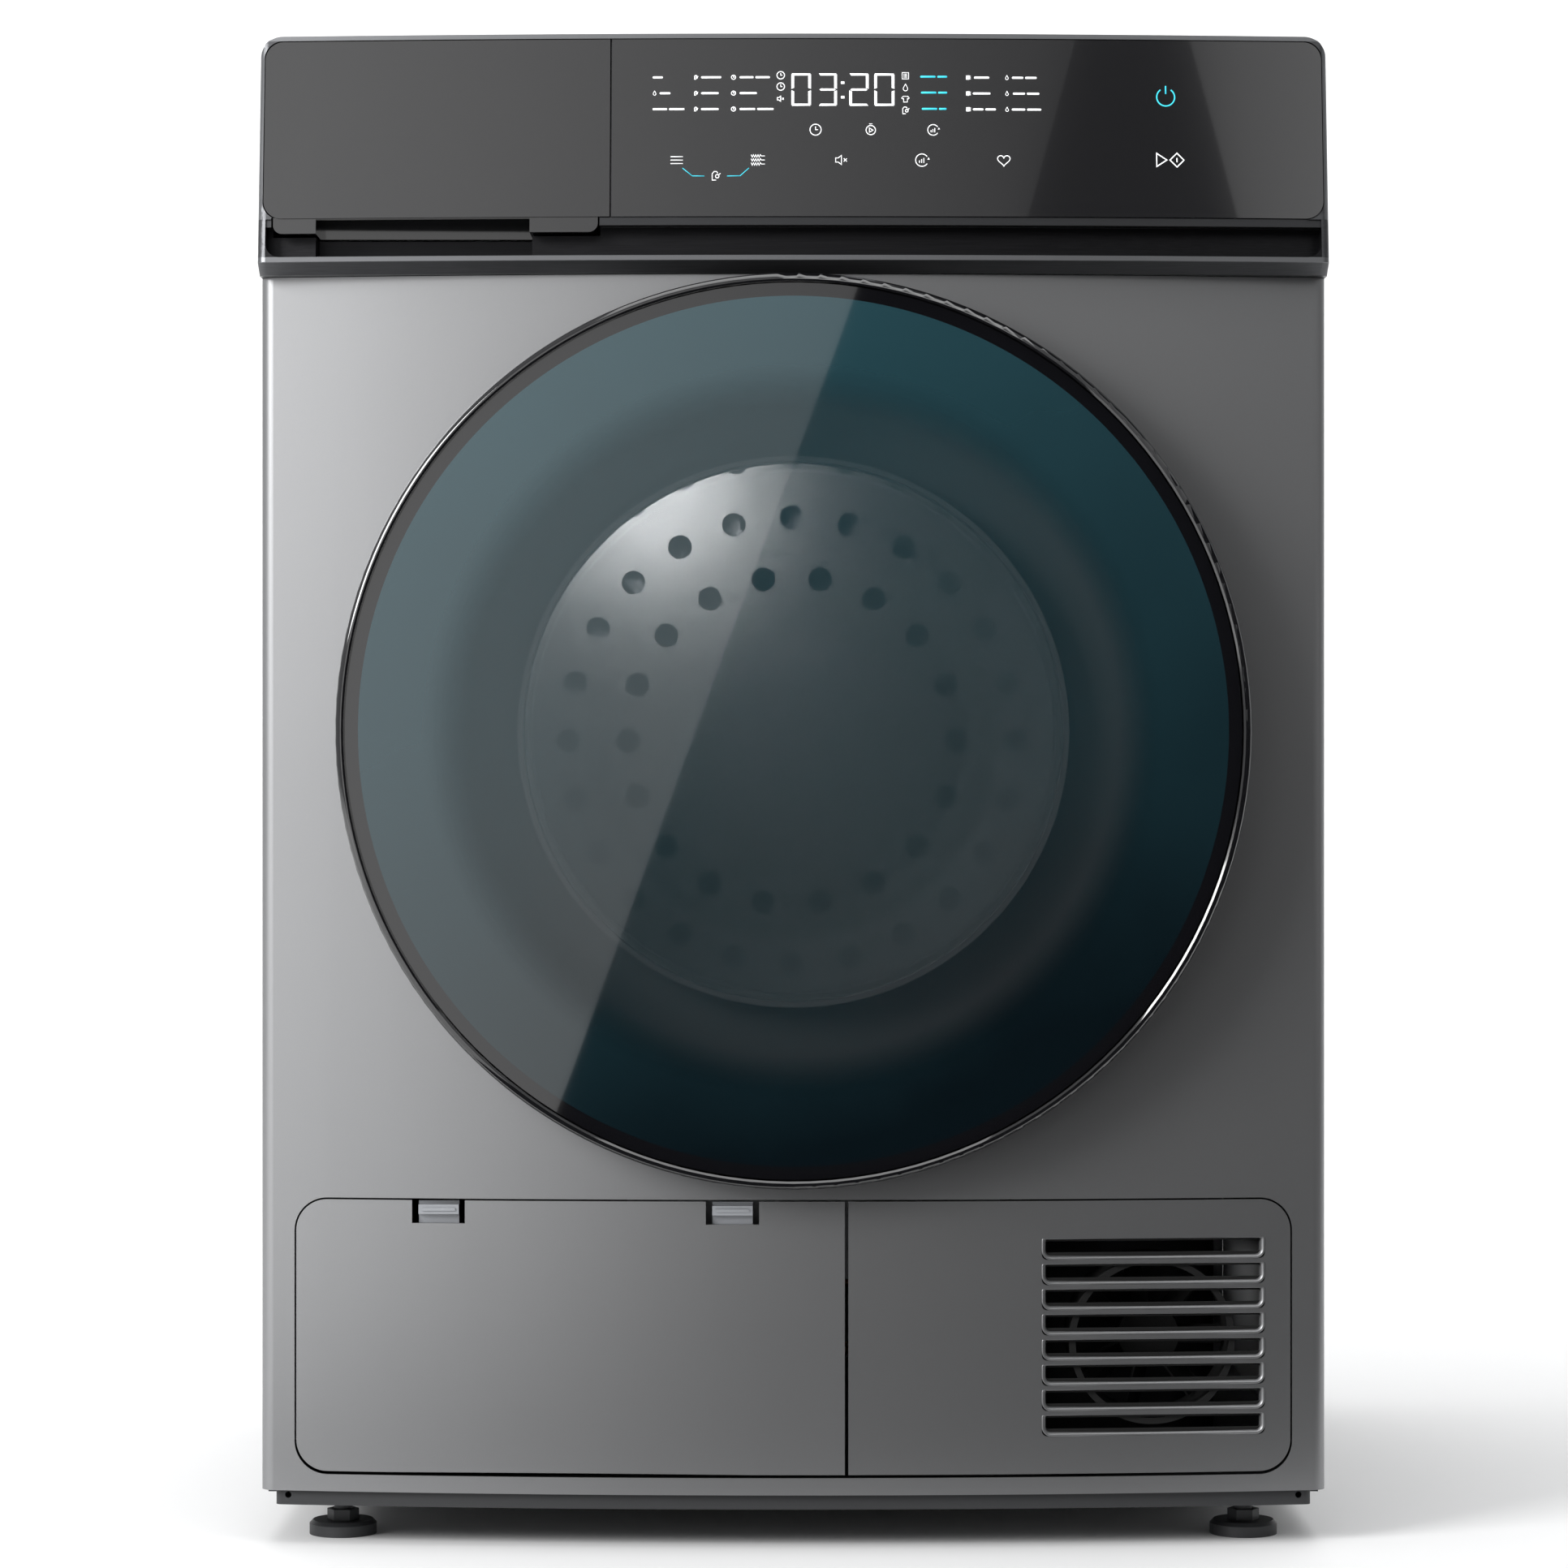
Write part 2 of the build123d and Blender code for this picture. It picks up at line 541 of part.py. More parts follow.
def rear_bulkhead():
    """The steel wall behind the drum, with the bearing hole and hot-air slots."""
    half = SIDE_X - SHEET - BULKHEAD_SIDE_GAP
    wall_back = REAR_BULKHEAD_Y + BULKHEAD_SHEET
    bottom_z = DRUM_Z - BULKHEAD_DROP
    wall = span_box(-half, half, REAR_BULKHEAD_Y, wall_back, bottom_z, SLEEVE_Z0 - FILTER_GAP)
    wall -= disc_y(BEARING_RADIUS, REAR_BULKHEAD_Y - 1, wall_back + 1, 0, DRUM_Z)
    for share, _ in DRUM_HOLE_ROWS[:-1]:
        reach = DRUM_RADIUS * share
        for step in range(HOT_AIR_HOLES):
            angle = 2 * math.pi * step / HOT_AIR_HOLES
            hole_x = reach * math.cos(angle)
            hole_z = DRUM_Z + reach * math.sin(angle)
            wall -= disc_y(HOT_AIR_HOLE_RADIUS, REAR_BULKHEAD_Y - 1, wall_back + 1, hole_x, hole_z)
    return wall


def rear_bearing():
    """The flanged plain bearing that carries the drum's shaft."""
    bearing = disc_y(BEARING_RADIUS, REAR_BULKHEAD_Y, REAR_BULKHEAD_Y + BEARING_LENGTH, 0, DRUM_Z)
    flange_y = REAR_BULKHEAD_Y + BULKHEAD_SHEET
    bearing += disc_y(BEARING_FLANGE_RADIUS, flange_y, flange_y + 3, 0, DRUM_Z)
    bore = DRUM_SHAFT_RADIUS + RUNNING_GAP
    return bearing - disc_y(bore, REAR_BULKHEAD_Y - 1, REAR_BULKHEAD_Y + 20, 0, DRUM_Z)


# ---- control fascia ----
def fascia_block(inset, half_width, z0, z1, corner=0.0, back_y=RETURN_Y):
    """A block whose front is the leaning, bowed face of the fascia, set back by inset."""
    apex_y = FASCIA_APEX_Y + inset + FASCIA_LEAN * (z0 - LIP_BOTTOM_Z)
    spare = FASCIA_HEIGHT * FASCIA_LEAN
    block = bowed_block(
        apex_y, FASCIA_RADIUS - inset, half_width, back_y + spare, z0, z1, corner, FASCIA_LEAN
    )
    return block & span_box(-WIDTH, WIDTH, FASCIA_APEX_Y - spare, back_y, z0, z1)


def fascia_slab(front, back, half_width, z0, z1):
    """The layer between two depths behind the fascia's face."""
    return fascia_block(front, half_width, z0, z1) - fascia_block(back, half_width + 1, z0, z1)


def glass_outline(gap, x0, x1):
    """The rounded window of the fascia between two x values, as a bar along Y."""
    window = rounded_bar(
        -GLASS_X + gap, GLASS_X - gap, GLASS_BOTTOM_Z + gap, GLASS_TOP_Z - gap,
        GLASS_CORNER, FASCIA_APEX_Y - 20, RETURN_Y + 20,
    )
    return window & span_box(x0, x1, FASCIA_APEX_Y - 20, RETURN_Y + 20, GLASS_BOTTOM_Z, GLASS_TOP_Z)


def crowned_bar(inset, z0, z1, corner, y0, y1):
    """A bar along Y, as wide as the fascia less the inset, with two rounded top corners."""
    half = SIDE_X - inset
    tall = rounded_bar(-half, half, z0 - 2 * corner, z1, corner, y0, y1)
    return tall & span_box(-half, half, y0, y1, z0, z1)


def fascia_channel():
    """The scooped channel under the glass and the shallower step of the trim above it."""
    half = SIDE_X - CHANNEL_END
    channel = fascia_slab(-CUT_SPARE, CHANNEL_DEPTH, half, LIP_TOP_Z, CHANNEL_TOP_Z)
    channel &= rounded_bar(
        -half - CUT_SLIP, half + CUT_SLIP, LIP_TOP_Z - CUT_SLIP, CHANNEL_TOP_Z + CHANNEL_HEIGHT,
        CHANNEL_CORNER, FASCIA_APEX_Y - 2 * CUT_SPARE, RETURN_Y,
    )
    return channel + fascia_slab(-CUT_SPARE, TRIM_SETBACK, half, CHANNEL_TOP_Z, GLASS_BOTTOM_Z)


def tank_opening():
    """What the fascia leaves free for the tank's front, its flange and the fingers."""
    front_y = FASCIA_APEX_Y - CUT_SPARE
    back_y = RETURN_Y + CUT_SPARE
    window = glass_outline(0, -SIDE_X, TANK_SPLIT_X)
    window &= span_box(-SIDE_X, 0, FASCIA_APEX_Y + FASCIA_WALL, back_y, GLASS_BOTTOM_Z, GLASS_TOP_Z)
    flange_z0 = GLASS_BOTTOM_Z - TANK_FLANGE_DROP - TANK_GAP
    left = -GLASS_X + TANK_FLANGE_INSET - TANK_GAP
    right = TANK_SPLIT_X - TANK_FLANGE_INSET
    window += span_box(left, right, front_y, back_y, flange_z0, GLASS_BOTTOM_Z + TANK_GAP)
    return window + span_box(
        GRIP_X0 - TANK_GAP, GRIP_X1 + TANK_GAP, front_y, TANK_FRONT_BACK_Y, LIP_TOP_Z, GLASS_BOTTOM_Z
    )


def control_fascia():
    """The control fascia: slope, lip, scooped channel, trim, glass recess and tank opening."""
    rise = LIP_BOTTOM_Z - FASCIA_BOTTOM_Z
    foot = bowed_block(
        FASCIA_APEX_Y + SLOPE_DEPTH, FASCIA_RADIUS - SLOPE_DEPTH, SIDE_X, RETURN_Y + SLOPE_DEPTH,
        FASCIA_BOTTOM_Z, LIP_BOTTOM_Z, FASCIA_CORNER, -SLOPE_DEPTH / rise,
    )
    foot &= span_box(-WIDTH, WIDTH, FASCIA_APEX_Y - 1, RETURN_Y, FASCIA_BOTTOM_Z, LIP_BOTTOM_Z)
    fascia = foot + fascia_block(0, SIDE_X, LIP_BOTTOM_Z, FASCIA_TOP_Z, FASCIA_CORNER)
    fascia &= crowned_bar(
        0, FASCIA_BOTTOM_Z, FASCIA_TOP_Z, FASCIA_CROWN, FASCIA_APEX_Y - CUT_SPARE, RETURN_Y
    )
    fascia -= fascia_channel()
    seat = GLASS_THICKNESS + GLASS_SETBACK
    recess = fascia_slab(-CUT_SPARE, seat + GLASS_SEAT_GAP, SIDE_X, GLASS_BOTTOM_Z, GLASS_TOP_Z)
    fascia -= recess & glass_outline(0, -SIDE_X, SIDE_X)
    inner_half = SIDE_X - FASCIA_WALL
    inner_top = FASCIA_TOP_Z - FASCIA_WALL
    back_y = RETURN_Y + CUT_SPARE
    cavity = fascia_block(
        seat + FASCIA_WALL, SIDE_X, GLASS_BOTTOM_Z - CUT_SLIP, FASCIA_TOP_Z, 0.0, back_y + CUT_SPARE
    )
    fascia -= cavity & crowned_bar(
        FASCIA_WALL, GLASS_BOTTOM_Z, inner_top, FASCIA_CROWN - FASCIA_WALL, FASCIA_APEX_Y, back_y
    )
    low_cavity = fascia_block(
        CHANNEL_DEPTH + FASCIA_WALL, inner_half, LIP_BOTTOM_Z, GLASS_BOTTOM_Z, 0.0, back_y
    )
    split_wall = TANK_SPLIT_X + FASCIA_WALL
    fascia -= low_cavity & span_box(
        split_wall, SIDE_X, FASCIA_APEX_Y, back_y, LIP_BOTTOM_Z, GLASS_BOTTOM_Z
    )
    return fascia - tank_opening()


def display_glass():
    """The dark glass to the right of the tank drawer."""
    z0, z1 = GLASS_BOTTOM_Z, GLASS_TOP_Z
    slab = fascia_slab(GLASS_SETBACK, GLASS_SETBACK + GLASS_THICKNESS, SIDE_X, z0, z1)
    return slab & glass_outline(GLASS_GAP, TANK_SPLIT_X + GLASS_GAP, SIDE_X)


def display_board():
    """The circuit board behind the display glass, with its light module and touch pads."""
    board_y = RETURN_Y - 13.5
    z0 = GLASS_BOTTOM_Z + 14
    board = span_box(-60, 230, board_y, board_y + 1.6, z0, z0 + 72)
    board += span_box(-10, 100, board_y - 5, board_y, z0 + 18, z0 + 62)
    for pad in range(5):
        board += disc_y(6, board_y - 3, board_y, 120 + pad * 24, z0 + 36)
    return board


# ---- water tank ----
def tank_front():
    """The drawer front of the water tank, with its flange and the finger grip under it."""
    back_y = TANK_FRONT_BACK_Y
    front_y = FASCIA_APEX_Y - CUT_SPARE
    face = fascia_block(GLASS_SETBACK, SIDE_X, GLASS_BOTTOM_Z, GLASS_TOP_Z, 0.0, back_y)
    front = face & glass_outline(GLASS_GAP, -SIDE_X, TANK_SPLIT_X - GLASS_GAP)
    flange_x0 = -GLASS_X + TANK_FLANGE_INSET
    flange_x1 = TANK_SPLIT_X - TANK_FLANGE_INSET - TANK_GAP
    flange_z0 = GLASS_BOTTOM_Z - TANK_FLANGE_DROP
    join_z = GLASS_BOTTOM_Z + TANK_GAP
    flange = fascia_block(TRIM_SETBACK, SIDE_X, flange_z0, join_z, 0.0, back_y)
    front += flange & rounded_bar(
        flange_x0, flange_x1, flange_z0, join_z + TANK_FLANGE_DROP, TANK_FLANGE_CORNER, front_y, back_y
    )
    grip_top = flange_z0 + GRIP_HEIGHT
    grip = fascia_block(GRIP_WALL, SIDE_X, GLASS_BOTTOM_Z, grip_top, 0.0, back_y)
    grip += span_box(GRIP_X0, GRIP_X1, front_y, back_y, flange_z0 - 1, GLASS_BOTTOM_Z)
    reach = span_box(
        GRIP_X0, GRIP_X1, front_y, back_y - GRIP_BACK_WALL, flange_z0 - 1, grip_top
    )
    return front - (grip & reach)


def water_tank():
    """The hollow condensate tank that slides in its sleeve, with a filling port on top."""
    inset = SLEEVE_WALL + TANK_CLEARANCE
    x0, x1 = SLEEVE_X0 + inset, SLEEVE_X1 - inset
    z0, z1 = SLEEVE_Z0 + inset, SLEEVE_Z1 - inset - 3
    y0, y1 = TANK_FRONT_BACK_Y, SLEEVE_Y1 - inset
    tank = span_box(x0, x1, y0, y1, z0, z1)
    tank = fillet(tank.edges().filter_by(Axis.Y), 5)
    wall = TANK_WALL
    tank -= span_box(x0 + wall, x1 - wall, y0 + wall, y1 - wall, z0 + wall, z1 - wall)
    return tank - disc_z(14, z1 - wall - 1, z1 + 1, (x0 + x1) / 2, y1 - 50)


def tank_sleeve():
    """The open-fronted sleeve that carries the tank."""
    sleeve = span_box(SLEEVE_X0, SLEEVE_X1, SIDE_FRONT_Y, SLEEVE_Y1, SLEEVE_Z0, SLEEVE_Z1)
    wall = SLEEVE_WALL
    return sleeve - span_box(
        SLEEVE_X0 + wall, SLEEVE_X1 - wall, SIDE_FRONT_Y - 1, SLEEVE_Y1 - wall,
        SLEEVE_Z0 + wall, SLEEVE_Z1 - wall,
    )


# ---- door ----
def door_glass():
    """The slightly domed outer pane."""
    edge_y = DOOR_APEX_Y + DOOR_GLASS_CROWN
    reach = DOOR_GLASS_RADIUS
    middle = reach / 2
    middle_y = DOOR_APEX_Y + DOOR_GLASS_CROWN / 4
    back = DOOR_GLASS_THICKNESS
    front_arc = ThreePointArc((0, DOOR_APEX_Y), (middle, middle_y), (reach, edge_y))
    back_arc = ThreePointArc((0, DOOR_APEX_Y + back), (middle, middle_y + back), (reach, edge_y + back))
    rim = Line((reach, edge_y), (reach, edge_y + back))
    core = Line((0, DOOR_APEX_Y), (0, DOOR_APEX_Y + back))
    outline = make_face([front_arc.edge(), rim.edge(), back_arc.edge(), core.edge()])
    return Pos(0, 0, DOOR_Z) * revolve(outline, Axis.Y, 360)


def door_ring():
    """The gloss ring round the pane, cut to follow the bowed cabinet, with a hinge pocket."""
    seat_y = DOOR_APEX_Y + DOOR_GLASS_CROWN + DOOR_GLASS_THICKNESS + FIT_GAP
    groove = DOOR_GLASS_RADIUS + 0.8
    brow_y = DOOR_APEX_Y + DOOR_RIM
    brow = DOOR_RADIUS - 3.6
    straight = Polyline(
        (brow, brow_y), (groove, brow_y + 0.8), (groove, seat_y), (DOOR_RING_INNER, seat_y),
        (DOOR_RING_INNER, PANEL_EDGE_Y), (DOOR_RADIUS, PANEL_EDGE_Y), (DOOR_RADIUS, brow_y + 4.2),
    )
    shoulder = ThreePointArc((DOOR_RADIUS, brow_y + 4.2), (DOOR_RADIUS - 1, brow_y + 1.4), (brow, brow_y))
    outline = make_face([*straight.edges(), shoulder.edge()])
    ring = Pos(0, 0, DOOR_Z) * revolve(outline, Axis.Y, 360)
    ring -= bowed_block(
        PANEL_APEX_Y - DOOR_GAP, PANEL_RADIUS + DOOR_GAP, SIDE_X, PANEL_EDGE_Y + 9, DOOR_Z - 260, DOOR_Z + 260
    )
    pocket = span_box(
        DOOR_RING_INNER - 12, DOOR_RADIUS + 9, DOOR_APEX_Y + 15, PANEL_EDGE_Y + 9,
        DOOR_Z - HINGE_POCKET, DOOR_Z + HINGE_POCKET,
    )
    return ring - pocket


def door_inner_frame():
    """The channel-shaped inner frame that fills the loading mouth and holds the bowl."""
    front, back = FRAME_FRONT_Y, FRAME_BACK_Y
    wall = FRAME_WALL
    return turned_about_y(
        [
            (FRAME_FLANGE_RADIUS, front), (FRAME_FLANGE_RADIUS, front + wall),
            (FRAME_HUB_RADIUS, front + wall), (FRAME_HUB_RADIUS, back), (BOWL_RADIUS, back),
            (BOWL_RADIUS, BOWL_RIM_Y), (BOWL_RADIUS + wall, BOWL_RIM_Y), (BOWL_RADIUS + wall, back - wall),
            (FRAME_HUB_RADIUS - wall, back - wall), (FRAME_HUB_RADIUS - wall, front),
        ],
        DOOR_Z,
    )


def door_bowl():
    """The glass bowl that keeps the load in the drum."""
    rim = BOWL_RADIUS - FIT_GAP
    floor = BOWL_FLOOR_RADIUS
    wall = BOWL_WALL
    return turned_about_y(
        [
            (rim, BOWL_RIM_Y), (rim, BOWL_BEND_Y), (floor, BOWL_FLOOR_Y - 6), (floor - 20, BOWL_FLOOR_Y),
            (0, BOWL_FLOOR_Y), (0, BOWL_FLOOR_Y - wall), (floor - 21, BOWL_FLOOR_Y - wall),
            (floor - wall, BOWL_FLOOR_Y - 9), (rim - wall, BOWL_BEND_Y - 1), (rim - wall, BOWL_RIM_Y),
        ],
        DOOR_Z,
    )


def door_seal():
    """The rubber lip behind the inner frame."""
    lip = ring_y(SEAL_RADIUS - 4, SEAL_INNER, FRAME_BACK_Y, FRAME_BACK_Y + SEAL_THICKNESS, 0, DOOR_Z)
    return lip + ring_y(SEAL_RADIUS, SEAL_RADIUS - 5, FRAME_BACK_Y, FRAME_BACK_Y + 2.5, 0, DOOR_Z)


def door_hinge_arm():
    """The plate and two knuckled arms that join the door to its hinge pin."""
    arm_y0 = HINGE_Y - 1.8
    arm_y1 = HINGE_Y + 2.2
    plate_x1 = FRAME_FLANGE_RADIUS - 3.5
    arm = span_box(FRAME_HUB_RADIUS + 1, plate_x1, arm_y0, arm_y1, DOOR_Z - 50, DOOR_Z + 50)
    low = HINGE_LUG_HIGH + 0.5
    for side in (-1, 1):
        z0 = DOOR_Z + min(side * low, side * HINGE_ARM_HIGH)
        z1 = DOOR_Z + max(side * low, side * HINGE_ARM_HIGH)
        arm += span_box(plate_x1 - 4, HINGE_X, arm_y0, arm_y1, z0, z1)
        arm += disc_z(HINGE_KNUCKLE_RADIUS, z0, z1, HINGE_X, HINGE_Y)
        arm -= disc_z(HINGE_PIN_RADIUS + RUNNING_GAP, z0 - 1, z1 + 1, HINGE_X, HINGE_Y)
    return arm


def door_hinge_bracket():
    """The fixed bracket on the front panel: foot, two lugs and the riveted pin."""
    foot_x0 = FRAME_FLANGE_RADIUS - 3
    foot_front = panel_y(foot_x0) - 3.2
    foot_back = panel_y(foot_x0) - FIT_GAP
    bracket = span_box(foot_x0, HINGE_X + 1, foot_front, foot_back, DOOR_Z - 36, DOOR_Z + 36)
    for side in (-1, 1):
        z0 = DOOR_Z + min(side * HINGE_LUG_LOW, side * HINGE_LUG_HIGH)
        z1 = DOOR_Z + max(side * HINGE_LUG_LOW, side * HINGE_LUG_HIGH)
        bracket += span_box(HINGE_X - 11, HINGE_X - LUG_STEP, HINGE_Y, foot_back, z0, z1)
        bracket += disc_z(HINGE_KNUCKLE_RADIUS, z0, z1, HINGE_X, HINGE_Y)
    pin_reach = HINGE_ARM_HIGH + 3
    return bracket + disc_z(HINGE_PIN_RADIUS, DOOR_Z - pin_reach, DOOR_Z + pin_reach, HINGE_X, HINGE_Y)


def door_latch_hook():
    """The hook on the free side of the door."""
    z0, z1 = DOOR_Z - LATCH_HALF_HEIGHT, DOOR_Z + LATCH_HALF_HEIGHT
    back_y = MOUTH_FRONT_Y + 15
    hook = span_box(LATCH_X - 3, LATCH_X + 4, FRAME_FRONT_Y + FRAME_WALL, back_y, z0, z1)
    return hook + span_box(LATCH_X - 7, LATCH_X - 3, back_y - 4, back_y, z0, z1)


def door_lock():
    """The lock behind the front panel that takes the hook."""
    y0 = MOUTH_FRONT_Y + MOUTH_WALL + FIT_GAP
    lock = span_box(LATCH_X - 20, LATCH_X + 11, y0, y0 + 32, DOOR_Z - 28, DOOR_Z + 28)
    return lock - span_box(LATCH_X - 10, LATCH_X + 7, y0 - 1, y0 + 20, DOOR_Z - 13, DOOR_Z + 13)


# ---- drum ----
def drum_shell():
    """The rolled steel drum with its necked front."""
    sheet = DRUM_SHEET
    neck_y = DRUM_FRONT_Y - DRUM_NECK_LENGTH
    return turned_about_y(
        [
            (DRUM_NECK_RADIUS - sheet, neck_y), (DRUM_NECK_RADIUS, neck_y),
            (DRUM_NECK_RADIUS, DRUM_FRONT_Y - sheet), (DRUM_RADIUS, DRUM_FRONT_Y - sheet),
            (DRUM_RADIUS, DRUM_REAR_Y), (DRUM_RADIUS - sheet, DRUM_REAR_Y),
            (DRUM_RADIUS - sheet, DRUM_FRONT_Y), (DRUM_NECK_RADIUS - sheet, DRUM_FRONT_Y),
        ],
        DRUM_Z,
    )


def drum_back():
    """The perforated drum back with its spider hub and rear shaft."""
    y0 = DRUM_REAR_Y - DRUM_HUB_THICKNESS
    y1 = y0 + DRUM_BACK_SHEET
    back = disc_y(DRUM_RADIUS - DRUM_SHEET, y0, y1, 0, DRUM_Z)
    for share, count in DRUM_HOLE_ROWS:
        reach = DRUM_RADIUS * share
        for step in range(count):
            angle = 2 * math.pi * step / count
            hole_x = reach * math.cos(angle)
            hole_z = DRUM_Z + reach * math.sin(angle)
            back -= disc_y(DRUM_HOLE_RADIUS, y0 - 1, y1 + 1, hole_x, hole_z)
    back += disc_y(DRUM_HUB_RADIUS, y0, y0 + DRUM_HUB_THICKNESS, 0, DRUM_Z)
    return back + disc_y(DRUM_SHAFT_RADIUS, y0, REAR_BULKHEAD_Y + 24, 0, DRUM_Z)


def drum_lifters():
    """The three moulded lifters, evenly spaced."""
    y0 = DRUM_FRONT_Y + LIFTER_END_GAP
    y1 = DRUM_REAR_Y - LIFTER_END_GAP
    reach = DRUM_RADIUS - DRUM_SHEET
    wall = disc_y(reach, y0 - 1, y1 + 1, 0, 0)
    crest = reach - LIFTER_HEIGHT
    foot = LIFTER_HALF_WIDTH
    lifters = []
    for step in range(LIFTER_COUNT):
        outline = [
            (-foot, reach + 4), (-LIFTER_CREST, crest + 2), (0, crest), (LIFTER_CREST, crest + 2),
            (foot, reach + 4),
        ]
        bar = extrude(polygon_face(outline, Plane.XZ.offset(-y0)), amount=-(y1 - y0))
        turn = Rot(0, 360 / LIFTER_COUNT * step, 0)
        lifters.append(Pos(0, 0, DRUM_Z) * turn * (bar & wall))
    return Compound(lifters)


def drum_front_seal():
    """The felt ring on the hub that the drum's neck turns around."""
    outer = DRUM_NECK_RADIUS - DRUM_SHEET - FIT_GAP
    y0 = FRONT_BULKHEAD_Y + 8
    return ring_y(outer, HUB_OUTER, y0, FRONT_BULKHEAD_Y + HUB_LENGTH, 0, DRUM_Z)


# ---- drum drive ----
def belt_loop(extra, y0, y1):
    """The solid inside a loop round the drum and the motor pulley."""
    drum = Pos(0, DRUM_Z) * Circle(DRUM_RADIUS + FIT_GAP + extra)
    pulley = Pos(MOTOR_X, MOTOR_Z) * Circle(PULLEY_RADIUS + FIT_GAP + extra)
    loop = make_hull([*drum.edges(), *pulley.edges()])
    plane = Plane(origin=(0, y1, 0), x_dir=(1, 0, 0), z_dir=(0, -1, 0))
    return extrude(plane * loop, amount=y1 - y0)


def drive_belt():
    """The ribbed belt round the drum and the motor pulley."""
    outer = belt_loop(BELT_THICKNESS, BELT_Y, BELT_Y + BELT_WIDTH)
    return outer - belt_loop(0, BELT_Y - 1, BELT_Y + BELT_WIDTH + 1)


def idler_place():
    """The idler's centre, pressed against the outside of the belt's lower run."""
    reach = math.hypot(MOTOR_X, MOTOR_Z - DRUM_Z)
    along = Vector(MOTOR_X, MOTOR_Z - DRUM_Z) / reach
    across = Vector(along.Y, -along.X)
    drum_outer = DRUM_RADIUS + FIT_GAP + BELT_THICKNESS
    pulley_outer = PULLEY_RADIUS + FIT_GAP + BELT_THICKNESS
    tilt = (drum_outer - pulley_outer) / reach
    normal = along * tilt + across * math.sqrt(1 - tilt**2)
    start = Vector(MOTOR_X, MOTOR_Z) + normal * pulley_outer
    finish = Vector(0, DRUM_Z) + normal * drum_outer
    centre = start + (finish - start) * IDLER_SHARE + normal * (IDLER_RADIUS + FIT_GAP)
    return centre.X, centre.Y


def idler_pulley():
    """The crowned idler that keeps the belt tight."""
    x, z = idler_place()
    pulley = disc_y(IDLER_RADIUS, BELT_Y - 3, BELT_Y + BELT_WIDTH + 3, x, z)
    return pulley - disc_y(IDLER_AXLE_RADIUS + RUNNING_GAP, BELT_Y - 9, BELT_Y + 30, x, z)


def drive_motor():
    """The motor's can with its two bearing bosses."""
    y0, y1 = MOTOR_FRONT_Y, MOTOR_FRONT_Y + MOTOR_LENGTH
    motor = disc_y(MOTOR_RADIUS, y0, y1, MOTOR_X, MOTOR_Z)
    motor = chamfer(motor.edges().filter_by(GeomType.CIRCLE), 4)
    motor += disc_y(16, y0 - 5, y1 + 5, MOTOR_X, MOTOR_Z)
    return motor - disc_y(MOTOR_SHAFT_RADIUS + RUNNING_GAP, y0 - 9, y1 + 9, MOTOR_X, MOTOR_Z)


def motor_shaft():
    """The shaft with the flanged belt pulley turned on its front end."""
    shaft = disc_y(MOTOR_SHAFT_RADIUS, BELT_Y - 6, BLOWER_FRONT_Y + 40, MOTOR_X, MOTOR_Z)
    shaft += disc_y(PULLEY_RADIUS, BELT_Y - 3, BELT_Y + BELT_WIDTH + 3, MOTOR_X, MOTOR_Z)
    for flange_y in (BELT_Y - 4.5, BELT_Y + BELT_WIDTH + 3):
        shaft += disc_y(PULLEY_RADIUS + 3, flange_y, flange_y + 1.5, MOTOR_X, MOTOR_Z)
    return shaft


def motor_bracket():
    """The folded bracket with two motor cradles and the idler's post and axle."""
    idler_x, idler_z = idler_place()
    post_y = BELT_Y + BELT_WIDTH + 3.5
    far_y = MOTOR_FRONT_Y + MOTOR_LENGTH - 12
    right = MOTOR_X + MOTOR_RADIUS + 8
    left = MOTOR_X - MOTOR_RADIUS - 8
    bracket = span_box(idler_x - 12, right, post_y, far_y, TRAY_TOP_Z, TRAY_TOP_Z + 3)
    for cradle_y in (MOTOR_FRONT_Y + 8, far_y - 4):
        bracket += span_box(left, right, cradle_y, cradle_y + 4, TRAY_TOP_Z, MOTOR_Z)
    bracket -= disc_y(MOTOR_RADIUS, MOTOR_FRONT_Y, far_y + 1, MOTOR_X, MOTOR_Z)
    bracket += span_box(idler_x - 12, idler_x + 12, post_y, post_y + 4, TRAY_TOP_Z, idler_z + 8)
    return bracket + disc_y(IDLER_AXLE_RADIUS, BELT_Y - 6, post_y, idler_x, idler_z)


def roller_place(side):
    """The centre of a support roller under the drum's neck."""
    reach = DRUM_NECK_RADIUS + ROLLER_RADIUS + FIT_GAP
    angle = math.radians(ROLLER_ANGLE)
    return side * reach * math.sin(angle), DRUM_Z - reach * math.cos(angle)


def support_roller(side):
    """A rubber-tyred roller on its axle."""
    x, z = roller_place(side)
    y1 = DRUM_FRONT_Y - 4
    roller = disc_y(ROLLER_RADIUS, y1 - ROLLER_WIDTH, y1, x, z)
    return roller - disc_y(ROLLER_AXLE_RADIUS + RUNNING_GAP, y1 - ROLLER_WIDTH - 1, y1 + 1, x, z)


